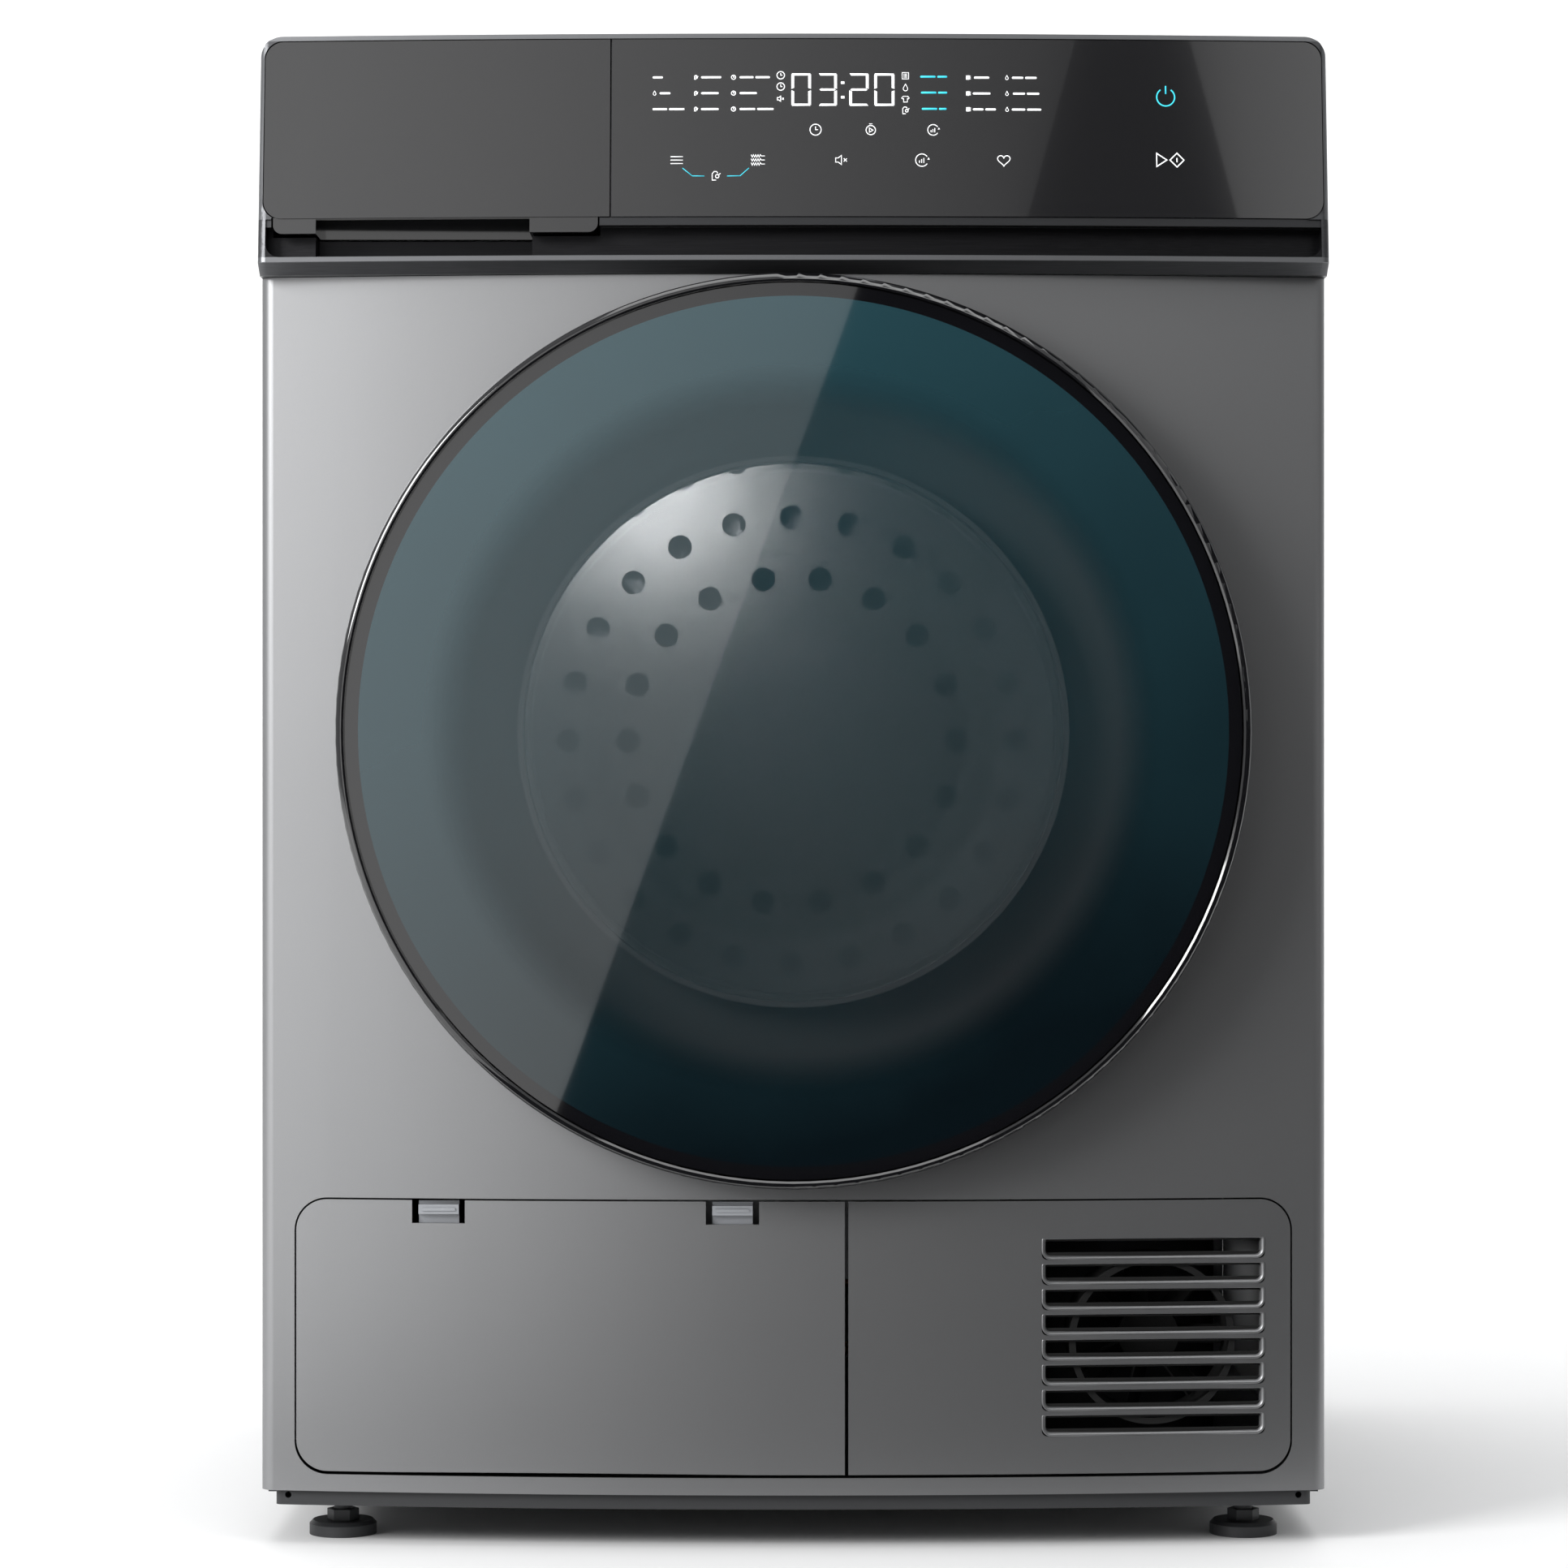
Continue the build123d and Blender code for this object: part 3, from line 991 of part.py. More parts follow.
def blower_housing():
    """The scroll round the blower wheel and its duct to the rear."""
    y0 = BLOWER_FRONT_Y
    y1 = y0 + BLOWER_DEPTH
    wall = BLOWER_WALL
    duct_x0, duct_x1 = MOTOR_X + 4, MOTOR_X + BLOWER_RADIUS
    duct_z0, duct_z1 = MOTOR_Z + 6, MOTOR_Z + BLOWER_RADIUS - 4
    duct_y1 = REAR_Y - SHEET - 1
    riser_y0 = REAR_BULKHEAD_Y + BULKHEAD_SHEET + 4
    riser_z1 = DRUM_Z - 190
    body = disc_y(BLOWER_RADIUS, y0, y1, MOTOR_X, MOTOR_Z)
    body += span_box(duct_x0, duct_x1, y1 - wall, duct_y1, duct_z0, duct_z1)
    body += span_box(duct_x0, duct_x1, riser_y0, duct_y1, duct_z0, riser_z1)
    body -= disc_y(BLOWER_RADIUS - wall, y0 + wall, y1 - wall, MOTOR_X, MOTOR_Z)
    body -= span_box(
        duct_x0 + wall, duct_x1 - wall, y1 - wall - 1, duct_y1 - wall, duct_z0 + wall, duct_z1 - wall
    )
    body -= span_box(
        duct_x0 + wall, duct_x1 - wall, riser_y0 + wall, duct_y1 - wall, duct_z0 + wall, riser_z1 + 1
    )
    return body - disc_y(40, y0 - 1, y0 + wall + 1, MOTOR_X, MOTOR_Z)


def blower_wheel():
    """The forward-curved blower wheel: back disc, blades, front ring and hub."""
    y1 = BLOWER_FRONT_Y + BLOWER_DEPTH - 12
    y0 = y1 - 40
    tip = BLOWER_RADIUS - BLOWER_WALL - 5
    wheel = disc_y(tip, y1 - 2, y1, MOTOR_X, MOTOR_Z) + disc_y(12, y0 + 8, y1, MOTOR_X, MOTOR_Z)
    wheel += ring_y(tip, tip - 8, y0, y0 + 2, MOTOR_X, MOTOR_Z)
    blade = span_box(tip - 15, tip - 0.5, y0, y1, -0.8, 0.8)
    for step in range(24):
        wheel += Pos(MOTOR_X, 0, MOTOR_Z) * Rot(0, step * 15, 0) * blade
    return wheel - disc_y(MOTOR_SHAFT_RADIUS, y0 - 1, y1 + 1, MOTOR_X, MOTOR_Z)


# ---- heat pump ----
def hatch_axis_y(x):
    """The y of the hatch's hinge axis, which follows the chord behind the bowed front."""
    x0, x1 = -SERVICE_X + HATCH_GAP, HATCH_SPLIT_X - HATCH_GAP
    share = (x - x0) / (x1 - x0)
    return panel_y(x0) + (panel_y(x1) - panel_y(x0)) * share + HATCH_AXIS_SETBACK


HATCH_AXIS_Z = SERVICE_Z0 + HATCH_FOOT_GAP + HATCH_AXIS_RISE


def hatch_lug(x0, x1):
    """A forward arm of the exchanger housing with the bore for a hatch peg."""
    middle = (x0 + x1) / 2
    axis_y = hatch_axis_y(middle)
    boss = HATCH_BOSS_RADIUS
    outline = [
        (EXCHANGER_Y0, HATCH_AXIS_Z + 50), (EXCHANGER_Y0, HATCH_AXIS_Z + 20),
        (axis_y + boss, HATCH_AXIS_Z), (axis_y, HATCH_AXIS_Z), (axis_y, HATCH_AXIS_Z + boss),
        (axis_y + boss, HATCH_AXIS_Z + 14),
    ]
    arm = extrude(polygon_face(outline, Plane.YZ.offset(x0)), amount=x1 - x0)
    arm += rod((x0, axis_y, HATCH_AXIS_Z), (x1, axis_y, HATCH_AXIS_Z), boss)
    bore_start = (x0 - 9, hatch_axis_y(x0 - 9), HATCH_AXIS_Z)
    bore_end = (x1 + 9, hatch_axis_y(x1 + 9), HATCH_AXIS_Z)
    return arm - rod(bore_start, bore_end, HATCH_PEG_RADIUS + RUNNING_GAP)


def exchanger_housing():
    """The open-fronted tunnel over the two heat exchangers, with the hatch's hinge arms."""
    y1 = EXCHANGER_Y0 + EXCHANGER_LENGTH
    wall = EXCHANGER_WALL
    shell = span_box(EXCHANGER_X0, EXCHANGER_X1, EXCHANGER_Y0, y1, TRAY_TOP_Z, EXCHANGER_Z1)
    shell -= span_box(
        EXCHANGER_X0 + wall, EXCHANGER_X1 - wall, EXCHANGER_Y0 - 1, y1 - wall,
        TRAY_TOP_Z - 1, EXCHANGER_Z1 - wall,
    )
    for pipe_y, pipe_z in pipe_ends():
        shell -= span_box(
            EXCHANGER_X1 - wall - 1, EXCHANGER_X1 + 1, pipe_y - 6, pipe_y + 6, pipe_z - 6, pipe_z + 6
        )
    shell += hatch_lug(EXCHANGER_X0, EXCHANGER_X0 + wall + 1)
    return shell + hatch_lug(EXCHANGER_X1 - wall - 1, EXCHANGER_X1)


def pipe_ends():
    """Where the two refrigerant pipes enter the exchangers."""
    return ((EXCHANGER_Y0 + 72, 130), (EXCHANGER_Y0 + 210, 90))


def finned_core(y0, y1):
    """A block of fins between two end plates, standing on the tray's ribs."""
    x0 = EXCHANGER_X0 + EXCHANGER_WALL + 4
    x1 = EXCHANGER_X1 - EXCHANGER_WALL - 4
    z0 = TRAY_TOP_Z + 4
    z1 = EXCHANGER_Z1 - EXCHANGER_WALL - 3
    core = span_box(x0, x1, y0, y1, z0, z1)
    pitch = (x1 - x0 - 20) / 20
    for fin in range(20):
        gap_x = x0 + 10 + pitch * (fin + 0.3)
        core -= span_box(gap_x, gap_x + pitch * 0.7, y0 - 1, y1 + 1, z0 + 6, z1 - 6)
    return core


def exchanger_cover():
    """The lid on the front of the tunnel, with bores for its two turn latches."""
    cover = rounded_bar(
        EXCHANGER_X0 + 5, EXCHANGER_X1 - 5, TRAY_TOP_Z + 12, EXCHANGER_Z1 - 4, 6,
        EXCHANGER_Y0 - COVER_PLATE, EXCHANGER_Y0,
    )
    cover -= rounded_bar(
        EXCHANGER_X0 + 40, EXCHANGER_X1 - 40, TRAY_TOP_Z + 36, EXCHANGER_Z1 - 30, 8,
        EXCHANGER_Y0 - COVER_PLATE - 1, EXCHANGER_Y0 - COVER_PLATE + 4,
    )
    for side in (-1, 1):
        x, z = turn_latch_place(side)
        bore = TURN_LATCH_RADIUS + RUNNING_GAP
        cover -= disc_y(bore, EXCHANGER_Y0 - 9, EXCHANGER_Y0 + 1, x, z)
    return cover


def turn_latch_place(side):
    """The centre of a turn latch on the exchanger cover."""
    middle = (EXCHANGER_X0 + EXCHANGER_X1) / 2
    half = (EXCHANGER_X1 - EXCHANGER_X0) / 2 - 22
    return middle + side * half, EXCHANGER_Z1 - 40


def turn_latch(side):
    """A turn latch: its knob, its grip bar and its stub through the cover."""
    x, z = turn_latch_place(side)
    face_y = EXCHANGER_Y0 - COVER_PLATE - FIT_GAP
    latch = disc_y(12, face_y - 3, face_y, x, z)
    latch += span_box(x - 3, x + 3, face_y - 11, face_y - 3, z - 11, z + 11)
    return latch + disc_y(TURN_LATCH_RADIUS, face_y, EXCHANGER_Y0 - 1, x, z)


def compressor():
    """The domed compressor on its foot plate."""
    foot_z = TRAY_TOP_Z + 6
    plate = span_box(
        COMPRESSOR_X - 56, COMPRESSOR_X + 56, COMPRESSOR_Y - 56, COMPRESSOR_Y + 56, foot_z, foot_z + 3
    )
    can = disc_z(COMPRESSOR_RADIUS, foot_z + 3, EXCHANGER_Z1 + 18, COMPRESSOR_X, COMPRESSOR_Y)
    can = fillet(can.edges().group_by(Axis.Z)[-1], 22)
    return plate + can


def refrigerant_pipes():
    """The two copper pipes between the compressor and the exchangers."""
    start_x = COMPRESSOR_X - COMPRESSOR_RADIUS + 6
    pipes = []
    for pipe_y, pipe_z in pipe_ends():
        start_y = COMPRESSOR_Y + math.copysign(18, pipe_y - COMPRESSOR_Y)
        bend_x = EXCHANGER_X1 + PIPE_STANDOFF
        route = FilletPolyline(
            (start_x, start_y, pipe_z), (bend_x, start_y, pipe_z), (bend_x, pipe_y, pipe_z),
            (EXCHANGER_X1 - EXCHANGER_WALL - 3.5, pipe_y, pipe_z),
            radius=16,
        )
        tube = sweep(Plane(origin=route @ 0, z_dir=route % 0) * Circle(4), path=route)
        pipes.append(tube - compressor())
    return Compound(pipes)


def condensate_pump():
    """The pump block in the rear corner, with its outlet stub."""
    x, y = -SIDE_X + 90, REAR_BULKHEAD_Y - 90
    pump = span_box(x - 40, x + 40, y - 35, y + 35, TRAY_TOP_Z, TRAY_TOP_Z + 34)
    pump += disc_z(26, TRAY_TOP_Z + 34, TRAY_TOP_Z + 62, x, y)
    return pump + disc_z(6, TRAY_TOP_Z + 34, TRAY_TOP_Z + 52, x - 32, y + 24)


def drain_spigot():
    """The rear spigot for a drain hose, with a shoulder that rests on the back."""
    x, z = spigot_place()
    tip_y = REAR_Y + SPIGOT_SHOULDER + SPIGOT_LENGTH
    spigot = disc_y(SPIGOT_RADIUS, REAR_Y, tip_y, x, z)
    spigot += disc_y(SPIGOT_SHOULDER_RADIUS, REAR_Y, REAR_Y + SPIGOT_SHOULDER, x, z)
    spigot += disc_y(SPIGOT_NECK_RADIUS, REAR_Y - SPIGOT_INSIDE, REAR_Y, x, z)
    return spigot - disc_y(SPIGOT_BORE, REAR_Y - SPIGOT_INSIDE - 1, tip_y + 1, x, z)


def cord_gland():
    """The gland in the back where the mains lead would enter."""
    x, z = gland_place()
    gland = disc_y(GLAND_RADIUS, REAR_Y, REAR_Y + 6, x, z)
    gland += disc_y(GLAND_NECK_RADIUS, REAR_Y - SHEET - 8, REAR_Y, x, z)
    return gland - disc_y(GLAND_BORE, REAR_Y - 12, REAR_Y + 8, x, z)


def main_board():
    """The power board in its tray, under the worktop."""
    x1 = SIDE_X - 14
    z0 = CASE_TOP_Z - 66
    tray = span_box(x1 - 160, x1, -180, -20, z0, z0 + 40)
    tray -= span_box(x1 - 157, x1 - 3, -177, -23, z0 + 3, z0 + 41)
    tray += span_box(x1 - 157, x1 - 3, -177, -23, z0 + 8, z0 + 10)
    tray += span_box(x1 - 120, x1 - 80, -150, -110, z0 + 10, z0 + 32)
    return tray + span_box(x1 - 60, x1 - 30, -120, -50, z0 + 10, z0 + 28)


# ---- lower service area ----
def service_slab(gap, x0, x1):
    """A bowed cover of the service opening between two x values, in line with the front."""
    slab = panel_slab(0, HATCH_THICKNESS, SERVICE_X + 5, SERVICE_Z0, SERVICE_Z1)
    window = rounded_bar(
        -SERVICE_X + gap, SERVICE_X - gap, SERVICE_Z0 + HATCH_FOOT_GAP, SERVICE_Z1 - gap,
        SERVICE_CORNER - gap, PANEL_APEX_Y - 5, PANEL_EDGE_Y + 15,
    )
    return slab & window & span_box(x0, x1, PANEL_APEX_Y - 5, PANEL_EDGE_Y + 15, SERVICE_Z0, SERVICE_Z1)


def service_hatch():
    """The fold-down hatch with two latch notches, guide rails, ears and hinge pegs."""
    hatch = service_slab(HATCH_GAP, -SERVICE_X, HATCH_SPLIT_X - HATCH_GAP)
    top_z = SERVICE_Z1 - HATCH_GAP
    for latch_x in HATCH_LATCH_X:
        front_y = panel_y(latch_x)
        half = HATCH_NOTCH_WIDTH / 2
        hatch -= span_box(
            latch_x - half, latch_x + half, front_y - 4, front_y + 9, top_z - HATCH_NOTCH_DEPTH, top_z + 1
        )
        for side in (-1, 1):
            rail_x = latch_x + side * (HATCH_TONGUE_WIDTH / 2 + 4)
            rail_y = panel_y(rail_x)
            hatch += span_box(
                rail_x - 1.5, rail_x + 1.5, rail_y + HATCH_THICKNESS - 1, rail_y + 9, top_z - 34, top_z - 14
            )
    lug = EXCHANGER_WALL + 1
    for ear_x, peg_x in (
        (EXCHANGER_X0 + lug + 3, EXCHANGER_X0 - 1),
        (EXCHANGER_X1 - lug - 3, EXCHANGER_X1 + 1),
    ):
        axis_y = hatch_axis_y(ear_x)
        ear_front = panel_y(ear_x) + HATCH_THICKNESS - 1
        ear = span_box(ear_x - 2, ear_x + 2, ear_front, axis_y, HATCH_AXIS_Z - 5, HATCH_AXIS_Z + 5)
        ear += rod((ear_x - 2, axis_y, HATCH_AXIS_Z), (ear_x + 2, axis_y, HATCH_AXIS_Z), 5)
        hatch += ear
        peg_end = (peg_x, hatch_axis_y(peg_x), HATCH_AXIS_Z)
        hatch += rod((ear_x, axis_y, HATCH_AXIS_Z), peg_end, HATCH_PEG_RADIUS)
    return hatch - hatch_foot_waste()


def hatch_foot_waste():
    """What the hatch's foot would scrape the opening with as it turns."""
    x0, x1 = -SERVICE_X - 9, HATCH_SPLIT_X + 9
    reach = HATCH_AXIS_Z - SERVICE_Z0 - HATCH_SWING_GAP
    start = (x0, hatch_axis_y(x0), HATCH_AXIS_Z)
    finish = (x1, hatch_axis_y(x1), HATCH_AXIS_Z)
    block = span_box(
        x0, x1, PANEL_APEX_Y - 9, PANEL_EDGE_Y + 30, SERVICE_Z0 - 9, SERVICE_Z0 + 20
    )
    return block - rod(start, finish, reach)


def hatch_latch(latch_x):
    """A spring latch: a ridged tongue in the notch, on a plate that slides behind the hatch."""
    front_y = panel_y(latch_x)
    top_z = SERVICE_Z1 - HATCH_GAP
    half = HATCH_TONGUE_WIDTH / 2
    plate_y = front_y + HATCH_THICKNESS + 2.2
    latch = span_box(latch_x - half, latch_x + half, plate_y, plate_y + 3, top_z - 38, top_z - 0.5)
    tongue_z = top_z - HATCH_NOTCH_DEPTH + HATCH_LATCH_TRAVEL + 1
    latch += span_box(latch_x - half, latch_x + half, front_y + 1.6, plate_y, tongue_z, top_z - 2.5)
    ridge_z = (tongue_z + top_z - 2.5) / 2
    return latch + span_box(
        latch_x - half + 2, latch_x + half - 2, front_y + 0.8, front_y + 1.6, ridge_z - 0.8, ridge_z + 0.8
    )


def ventilation_grille():
    """The louvred cover on the right, with the moulded shroud of the cooling fan behind it."""
    grille = service_slab(HATCH_GAP, HATCH_SPLIT_X + HATCH_GAP, SERVICE_X)
    for row in range(LOUVRE_COUNT):
        top_z = LOUVRE_TOP_Z - row * LOUVRE_PITCH
        open_z = top_z - 2.3 - LOUVRE_OPENING
        pocket = rounded_bar(
            LOUVRE_X0, LOUVRE_X1, top_z - LOUVRE_HEIGHT, top_z, 3, PANEL_APEX_Y - 5, PANEL_EDGE_Y
        )
        grille -= pocket & panel_slab(-1, 1.4, SERVICE_X, SERVICE_Z0, SERVICE_Z1)
        grille -= rounded_bar(
            LOUVRE_X0 + 2.3, LOUVRE_X1 - 2.3, open_z, top_z - 1.5, 1.5, PANEL_APEX_Y - 5, PANEL_EDGE_Y + 9
        )
    back_y = FAN_FRONT_Y + FAN_DEPTH
    shroud = ring_y(FAN_RADIUS + 3.5, FAN_RADIUS, PANEL_APEX_Y, back_y, FAN_X, FAN_Z)
    shroud += disc_y(18, back_y - 3, back_y, FAN_X, FAN_Z)
    for angle in (45, 135):
        reach = FAN_RADIUS + 1
        strut = span_box(-reach, reach, back_y - 3, back_y, -2, 2)
        shroud += Pos(FAN_X, 0, FAN_Z) * Rot(0, angle, 0) * strut
    depth = HATCH_THICKNESS - 0.5
    behind = bowed_block(
        PANEL_APEX_Y + depth, PANEL_RADIUS - depth, SERVICE_X, back_y + 1, SERVICE_Z0, SERVICE_Z1
    )
    return grille + (shroud & behind)


def cooling_fan_blade():
    """The seven-bladed rotor of the cooling fan."""
    y1 = FAN_FRONT_Y + FAN_DEPTH - 3.5
    y0 = y1 - 14
    rotor = disc_y(17, y0, y1, FAN_X, FAN_Z)
    blade = Rot(32, 0, 0) * Box(FAN_RADIUS - 17, 15, 1.4)
    blade = Pos((FAN_RADIUS + 15) / 2 - 1, (y0 + y1) / 2, 0) * blade
    for step in range(7):
        rotor += Pos(FAN_X, 0, FAN_Z) * Rot(0, step * 360 / 7, 0) * blade
    return rotor


def build_all():
    """Every piece by its node's name."""
    exchanger_mid = EXCHANGER_Y0 + EXCHANGER_LENGTH * 0.42
    exchanger_end = EXCHANGER_Y0 + EXCHANGER_LENGTH - EXCHANGER_WALL - 8
    return {
        "base_moulding": base_moulding(),
        "front_left_foot": levelling_foot(-1, FOOT_FRONT_Y),
        "front_right_foot": levelling_foot(1, FOOT_FRONT_Y),
        "rear_left_foot": levelling_foot(-1, FOOT_REAR_Y),
        "rear_right_foot": levelling_foot(1, FOOT_REAR_Y),
        "left_side_panel": side_panel(-1),
        "right_side_panel": side_panel(1),
        "rear_panel": rear_panel(),
        "rear_duct_cover": rear_duct_cover(),
        "worktop": worktop(),
        "front_panel": front_panel(),
        "front_bulkhead": front_bulkhead(),
        "lint_filter": lint_filter(),
        "rear_bulkhead": rear_bulkhead(),
        "rear_bearing": rear_bearing(),
        "control_fascia": control_fascia(),
        "display_glass": display_glass(),
        "display_board": display_board(),
        "tank_front": tank_front(),
        "water_tank": water_tank(),
        "tank_sleeve": tank_sleeve(),
        "door_glass": door_glass(),
        "door_ring": door_ring(),
        "door_inner_frame": door_inner_frame(),
        "door_bowl": door_bowl(),
        "door_seal": door_seal(),
        "door_hinge_arm": door_hinge_arm(),
        "door_hinge_bracket": door_hinge_bracket(),
        "door_latch_hook": door_latch_hook(),
        "door_lock": door_lock(),
        "drum_shell": drum_shell(),
        "drum_back": drum_back(),
        "drum_lifters": drum_lifters(),
        "drum_front_seal": drum_front_seal(),
        "drive_belt": drive_belt(),
        "idler_pulley": idler_pulley(),
        "drive_motor": drive_motor(),
        "motor_shaft": motor_shaft(),
        "motor_bracket": motor_bracket(),
        "left_roller": support_roller(-1),
        "right_roller": support_roller(1),
        "blower_housing": blower_housing(),
        "blower_wheel": blower_wheel(),
        "exchanger_housing": exchanger_housing(),
        "evaporator": finned_core(EXCHANGER_Y0 + 20, exchanger_mid),
        "condenser": finned_core(exchanger_mid + 8, exchanger_end),
        "exchanger_cover": exchanger_cover(),
        "left_turn_latch": turn_latch(-1),
        "right_turn_latch": turn_latch(1),
        "compressor": compressor(),
        "refrigerant_pipes": refrigerant_pipes(),
        "condensate_pump": condensate_pump(),
        "drain_spigot": drain_spigot(),
        "cord_gland": cord_gland(),
        "main_board": main_board(),
        "service_hatch": service_hatch(),
        "left_hatch_latch": hatch_latch(HATCH_LATCH_X[0]),
        "right_hatch_latch": hatch_latch(HATCH_LATCH_X[1]),
        "ventilation_grille": ventilation_grille(),
        "cooling_fan_blade": cooling_fan_blade(),
    }


os.makedirs("parts", exist_ok=True)
for node, solid in build_all().items():
    export_step(solid, "parts/" + node + ".step")
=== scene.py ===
# %% [markdown]
# # A heat-pump clothes dryer
# The frame is the dryer's finished design: every piece is already in its real place, in metres, and
# rides on the body that it moves with. This file never moves those pieces and never changes their
# meshes. It gives each one its finish, rounds the edges of many of them, and adds what the plain
# pieces lack: a bevelled lip in every air slot, and the lit symbols on the glass.

# %% Load the frame
import math

import bmesh
import bpy
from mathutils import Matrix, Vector


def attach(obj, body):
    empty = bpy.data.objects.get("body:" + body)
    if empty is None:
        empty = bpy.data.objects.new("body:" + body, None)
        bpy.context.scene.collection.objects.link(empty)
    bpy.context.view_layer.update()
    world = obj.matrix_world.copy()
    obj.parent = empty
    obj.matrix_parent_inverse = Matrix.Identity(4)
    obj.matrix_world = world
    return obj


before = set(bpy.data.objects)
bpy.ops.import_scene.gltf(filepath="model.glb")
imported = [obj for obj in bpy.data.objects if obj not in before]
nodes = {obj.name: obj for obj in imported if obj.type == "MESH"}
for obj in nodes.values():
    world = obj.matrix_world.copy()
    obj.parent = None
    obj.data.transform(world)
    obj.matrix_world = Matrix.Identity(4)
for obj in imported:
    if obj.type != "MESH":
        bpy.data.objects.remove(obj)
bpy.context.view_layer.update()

MM = 0.001

# %% [markdown]
# ## Writing a finish as sums
# A finish in Blender is a web of nodes, which is hard to read back. Here one small class holds an
# output of a node and lets Python's own signs work on it, so `0.4 + 0.1 * grain` adds the two Math
# nodes by itself. The other class starts a finish and has one method for every other kind of node: it
# sets the node's own settings first, because some settings change which sockets the node has, and
# then plugs in plain numbers, colours or other nodes' outputs.


# %% A socket that can be calculated with
class Wire:
    """One output of a shader node, which Python's operators can work on."""

    def __init__(self, socket):
        self.socket = socket

    def __getitem__(self, name):
        return Wire(self.socket.node.outputs[name])

    def sum_node(self, operation, first, second):
        node = self.socket.id_data.nodes.new("ShaderNodeMath")
        node.operation = operation
        plug(node.inputs[0], first)
        plug(node.inputs[1], second)
        return Wire(node.outputs[0])

    def __add__(self, other):
        return self.sum_node("ADD", self, other)

    def __sub__(self, other):
        return self.sum_node("SUBTRACT", self, other)

    def __mul__(self, other):
        return self.sum_node("MULTIPLY", self, other)

    def __pow__(self, other):
        return self.sum_node("POWER", self, other)

    def __gt__(self, other):
        return self.sum_node("GREATER_THAN", self, other)

    def __lt__(self, other):
        return self.sum_node("LESS_THAN", self, other)

    def __rsub__(self, other):
        return self.sum_node("SUBTRACT", other, self)

    __radd__ = __add__
    __rmul__ = __mul__


def plug(socket, value):
    """Links an output to a socket, or sets the socket to a plain value."""
    if isinstance(value, Wire):
        socket.id_data.links.new(value.socket, socket)
    elif isinstance(value, (tuple, list)) and len(value) == 3 and len(socket.default_value) == 4:
        socket.default_value = (*value, 1.0)
    else:
        socket.default_value = value


# %% A finish, and the one method that adds any node to it
MIX_SHARE, MIX_LOW, MIX_HIGH, MIX_COLOUR = 0, 6, 7, 2


class Finish:
    """A node material under construction, with one Principled shader."""

    def __init__(self, name, **fixed):
        self.material = bpy.data.materials.new(name)
        self.material.use_nodes = True
        self.tree = self.material.node_tree
        self.shader = self.tree.nodes["Principled BSDF"]
        for socket, value in fixed.items():
            self.set(socket.replace("_", " "), value)
        self.place = self.node("ShaderNodeTexCoord")["Object"]

    def node(self, kind, settings=None, **sockets):
        made = self.tree.nodes.new(kind)
        for name, value in (settings or {}).items():
            setattr(made, name, value)
        for name, value in sockets.items():
            plug(made.inputs[name.replace("_", " ")], value)
        return Wire(made.outputs[0])

    def set(self, socket, value):
        plug(self.shader.inputs[socket], value)
        return self

    def noise(self, scale, detail=3.0, stretch=(1, 1, 1), roughness=0.5):
        """Cloudy noise in the piece's own place, stretched along an axis by a small factor."""
        spot = self.node("ShaderNodeMapping", Vector=self.place, Scale=stretch)
        cloud = self.node(
            "ShaderNodeTexNoise", Vector=spot, Scale=scale, Detail=detail, Roughness=roughness
        )
        return cloud["Fac"] if "Fac" in cloud.socket.node.outputs else cloud

    def mix(self, share, low, high):
        """A colour between two colours. The node has sockets for every kind of value, by number."""
        made = self.node("ShaderNodeMix", {"data_type": "RGBA"}).socket.node
        plug(made.inputs[MIX_SHARE], share)
        plug(made.inputs[MIX_LOW], low)
        plug(made.inputs[MIX_HIGH], high)
        return Wire(made.outputs[MIX_COLOUR])

    def bump(self, height, distance, strength=0.5):
        self.set("Normal", self.node(
            "ShaderNodeBump", Height=height, Distance=distance, Strength=strength
        ))
        return self


print("finishes can be written as sums")

# %% [markdown]
# ## Plastics, paints and metals
# Real sheet paint is not one grey: it has a faint orange peel, a fine metallic flake and a slow drift
# in gloss. Each recipe below is a base colour with a little of each. A noise's scale is how many clouds
# fit in a metre, so a flake is in the thousands and a drift is under ten. A picture of paint could be
# wrapped round instead, but it would need unwrapping and would stretch; sums over the place do not.


# %% Recipes that many pieces share
def shade(colour, factor):
    return tuple(min(1.0, part * factor) for part in colour)


FLAKE, DRIFT, PEEL = 2600, 5, 420
PAINT_METALLIC, PAINT_ROUGHNESS = 0.85, 0.38
PEEL_DEPTH, PEEL_SHARE = 0.00006, 0.35


def satin_paint(name, colour, metallic=PAINT_METALLIC, roughness=PAINT_ROUGHNESS):
    """Metallic paint on sheet steel: fine flake, faint orange peel."""
    finish = Finish(name, Metallic=metallic, Specular_IOR_Level=0.5)
    flake = finish.noise(FLAKE, 1.0)
    drift = finish.noise(DRIFT, 2.0)
    peel = finish.noise(PEEL, 2.0)
    grain = 0.35 * flake + 0.3 * drift
    finish.set("Base Color", finish.mix(grain, shade(colour, 0.90), shade(colour, 1.12)))
    finish.set("Roughness", roughness + 0.06 * flake + 0.04 * drift)
    return finish.bump(peel, PEEL_DEPTH, PEEL_SHARE).material


def moulded(name, colour, roughness=0.5, grain=900, depth=0.00008):
    """Moulded plastic with a fine spark-eroded grain."""
    finish = Finish(name, Specular_IOR_Level=0.45)
    pits = finish.noise(grain, 3.0)
    drift = finish.noise(9, 2.0)
    finish.set("Base Color", finish.mix(drift, shade(colour, 0.92), shade(colour, 1.10)))
    finish.set("Roughness", roughness - 0.05 + 0.14 * pits)
    return finish.bump(pits, depth, 0.4).material


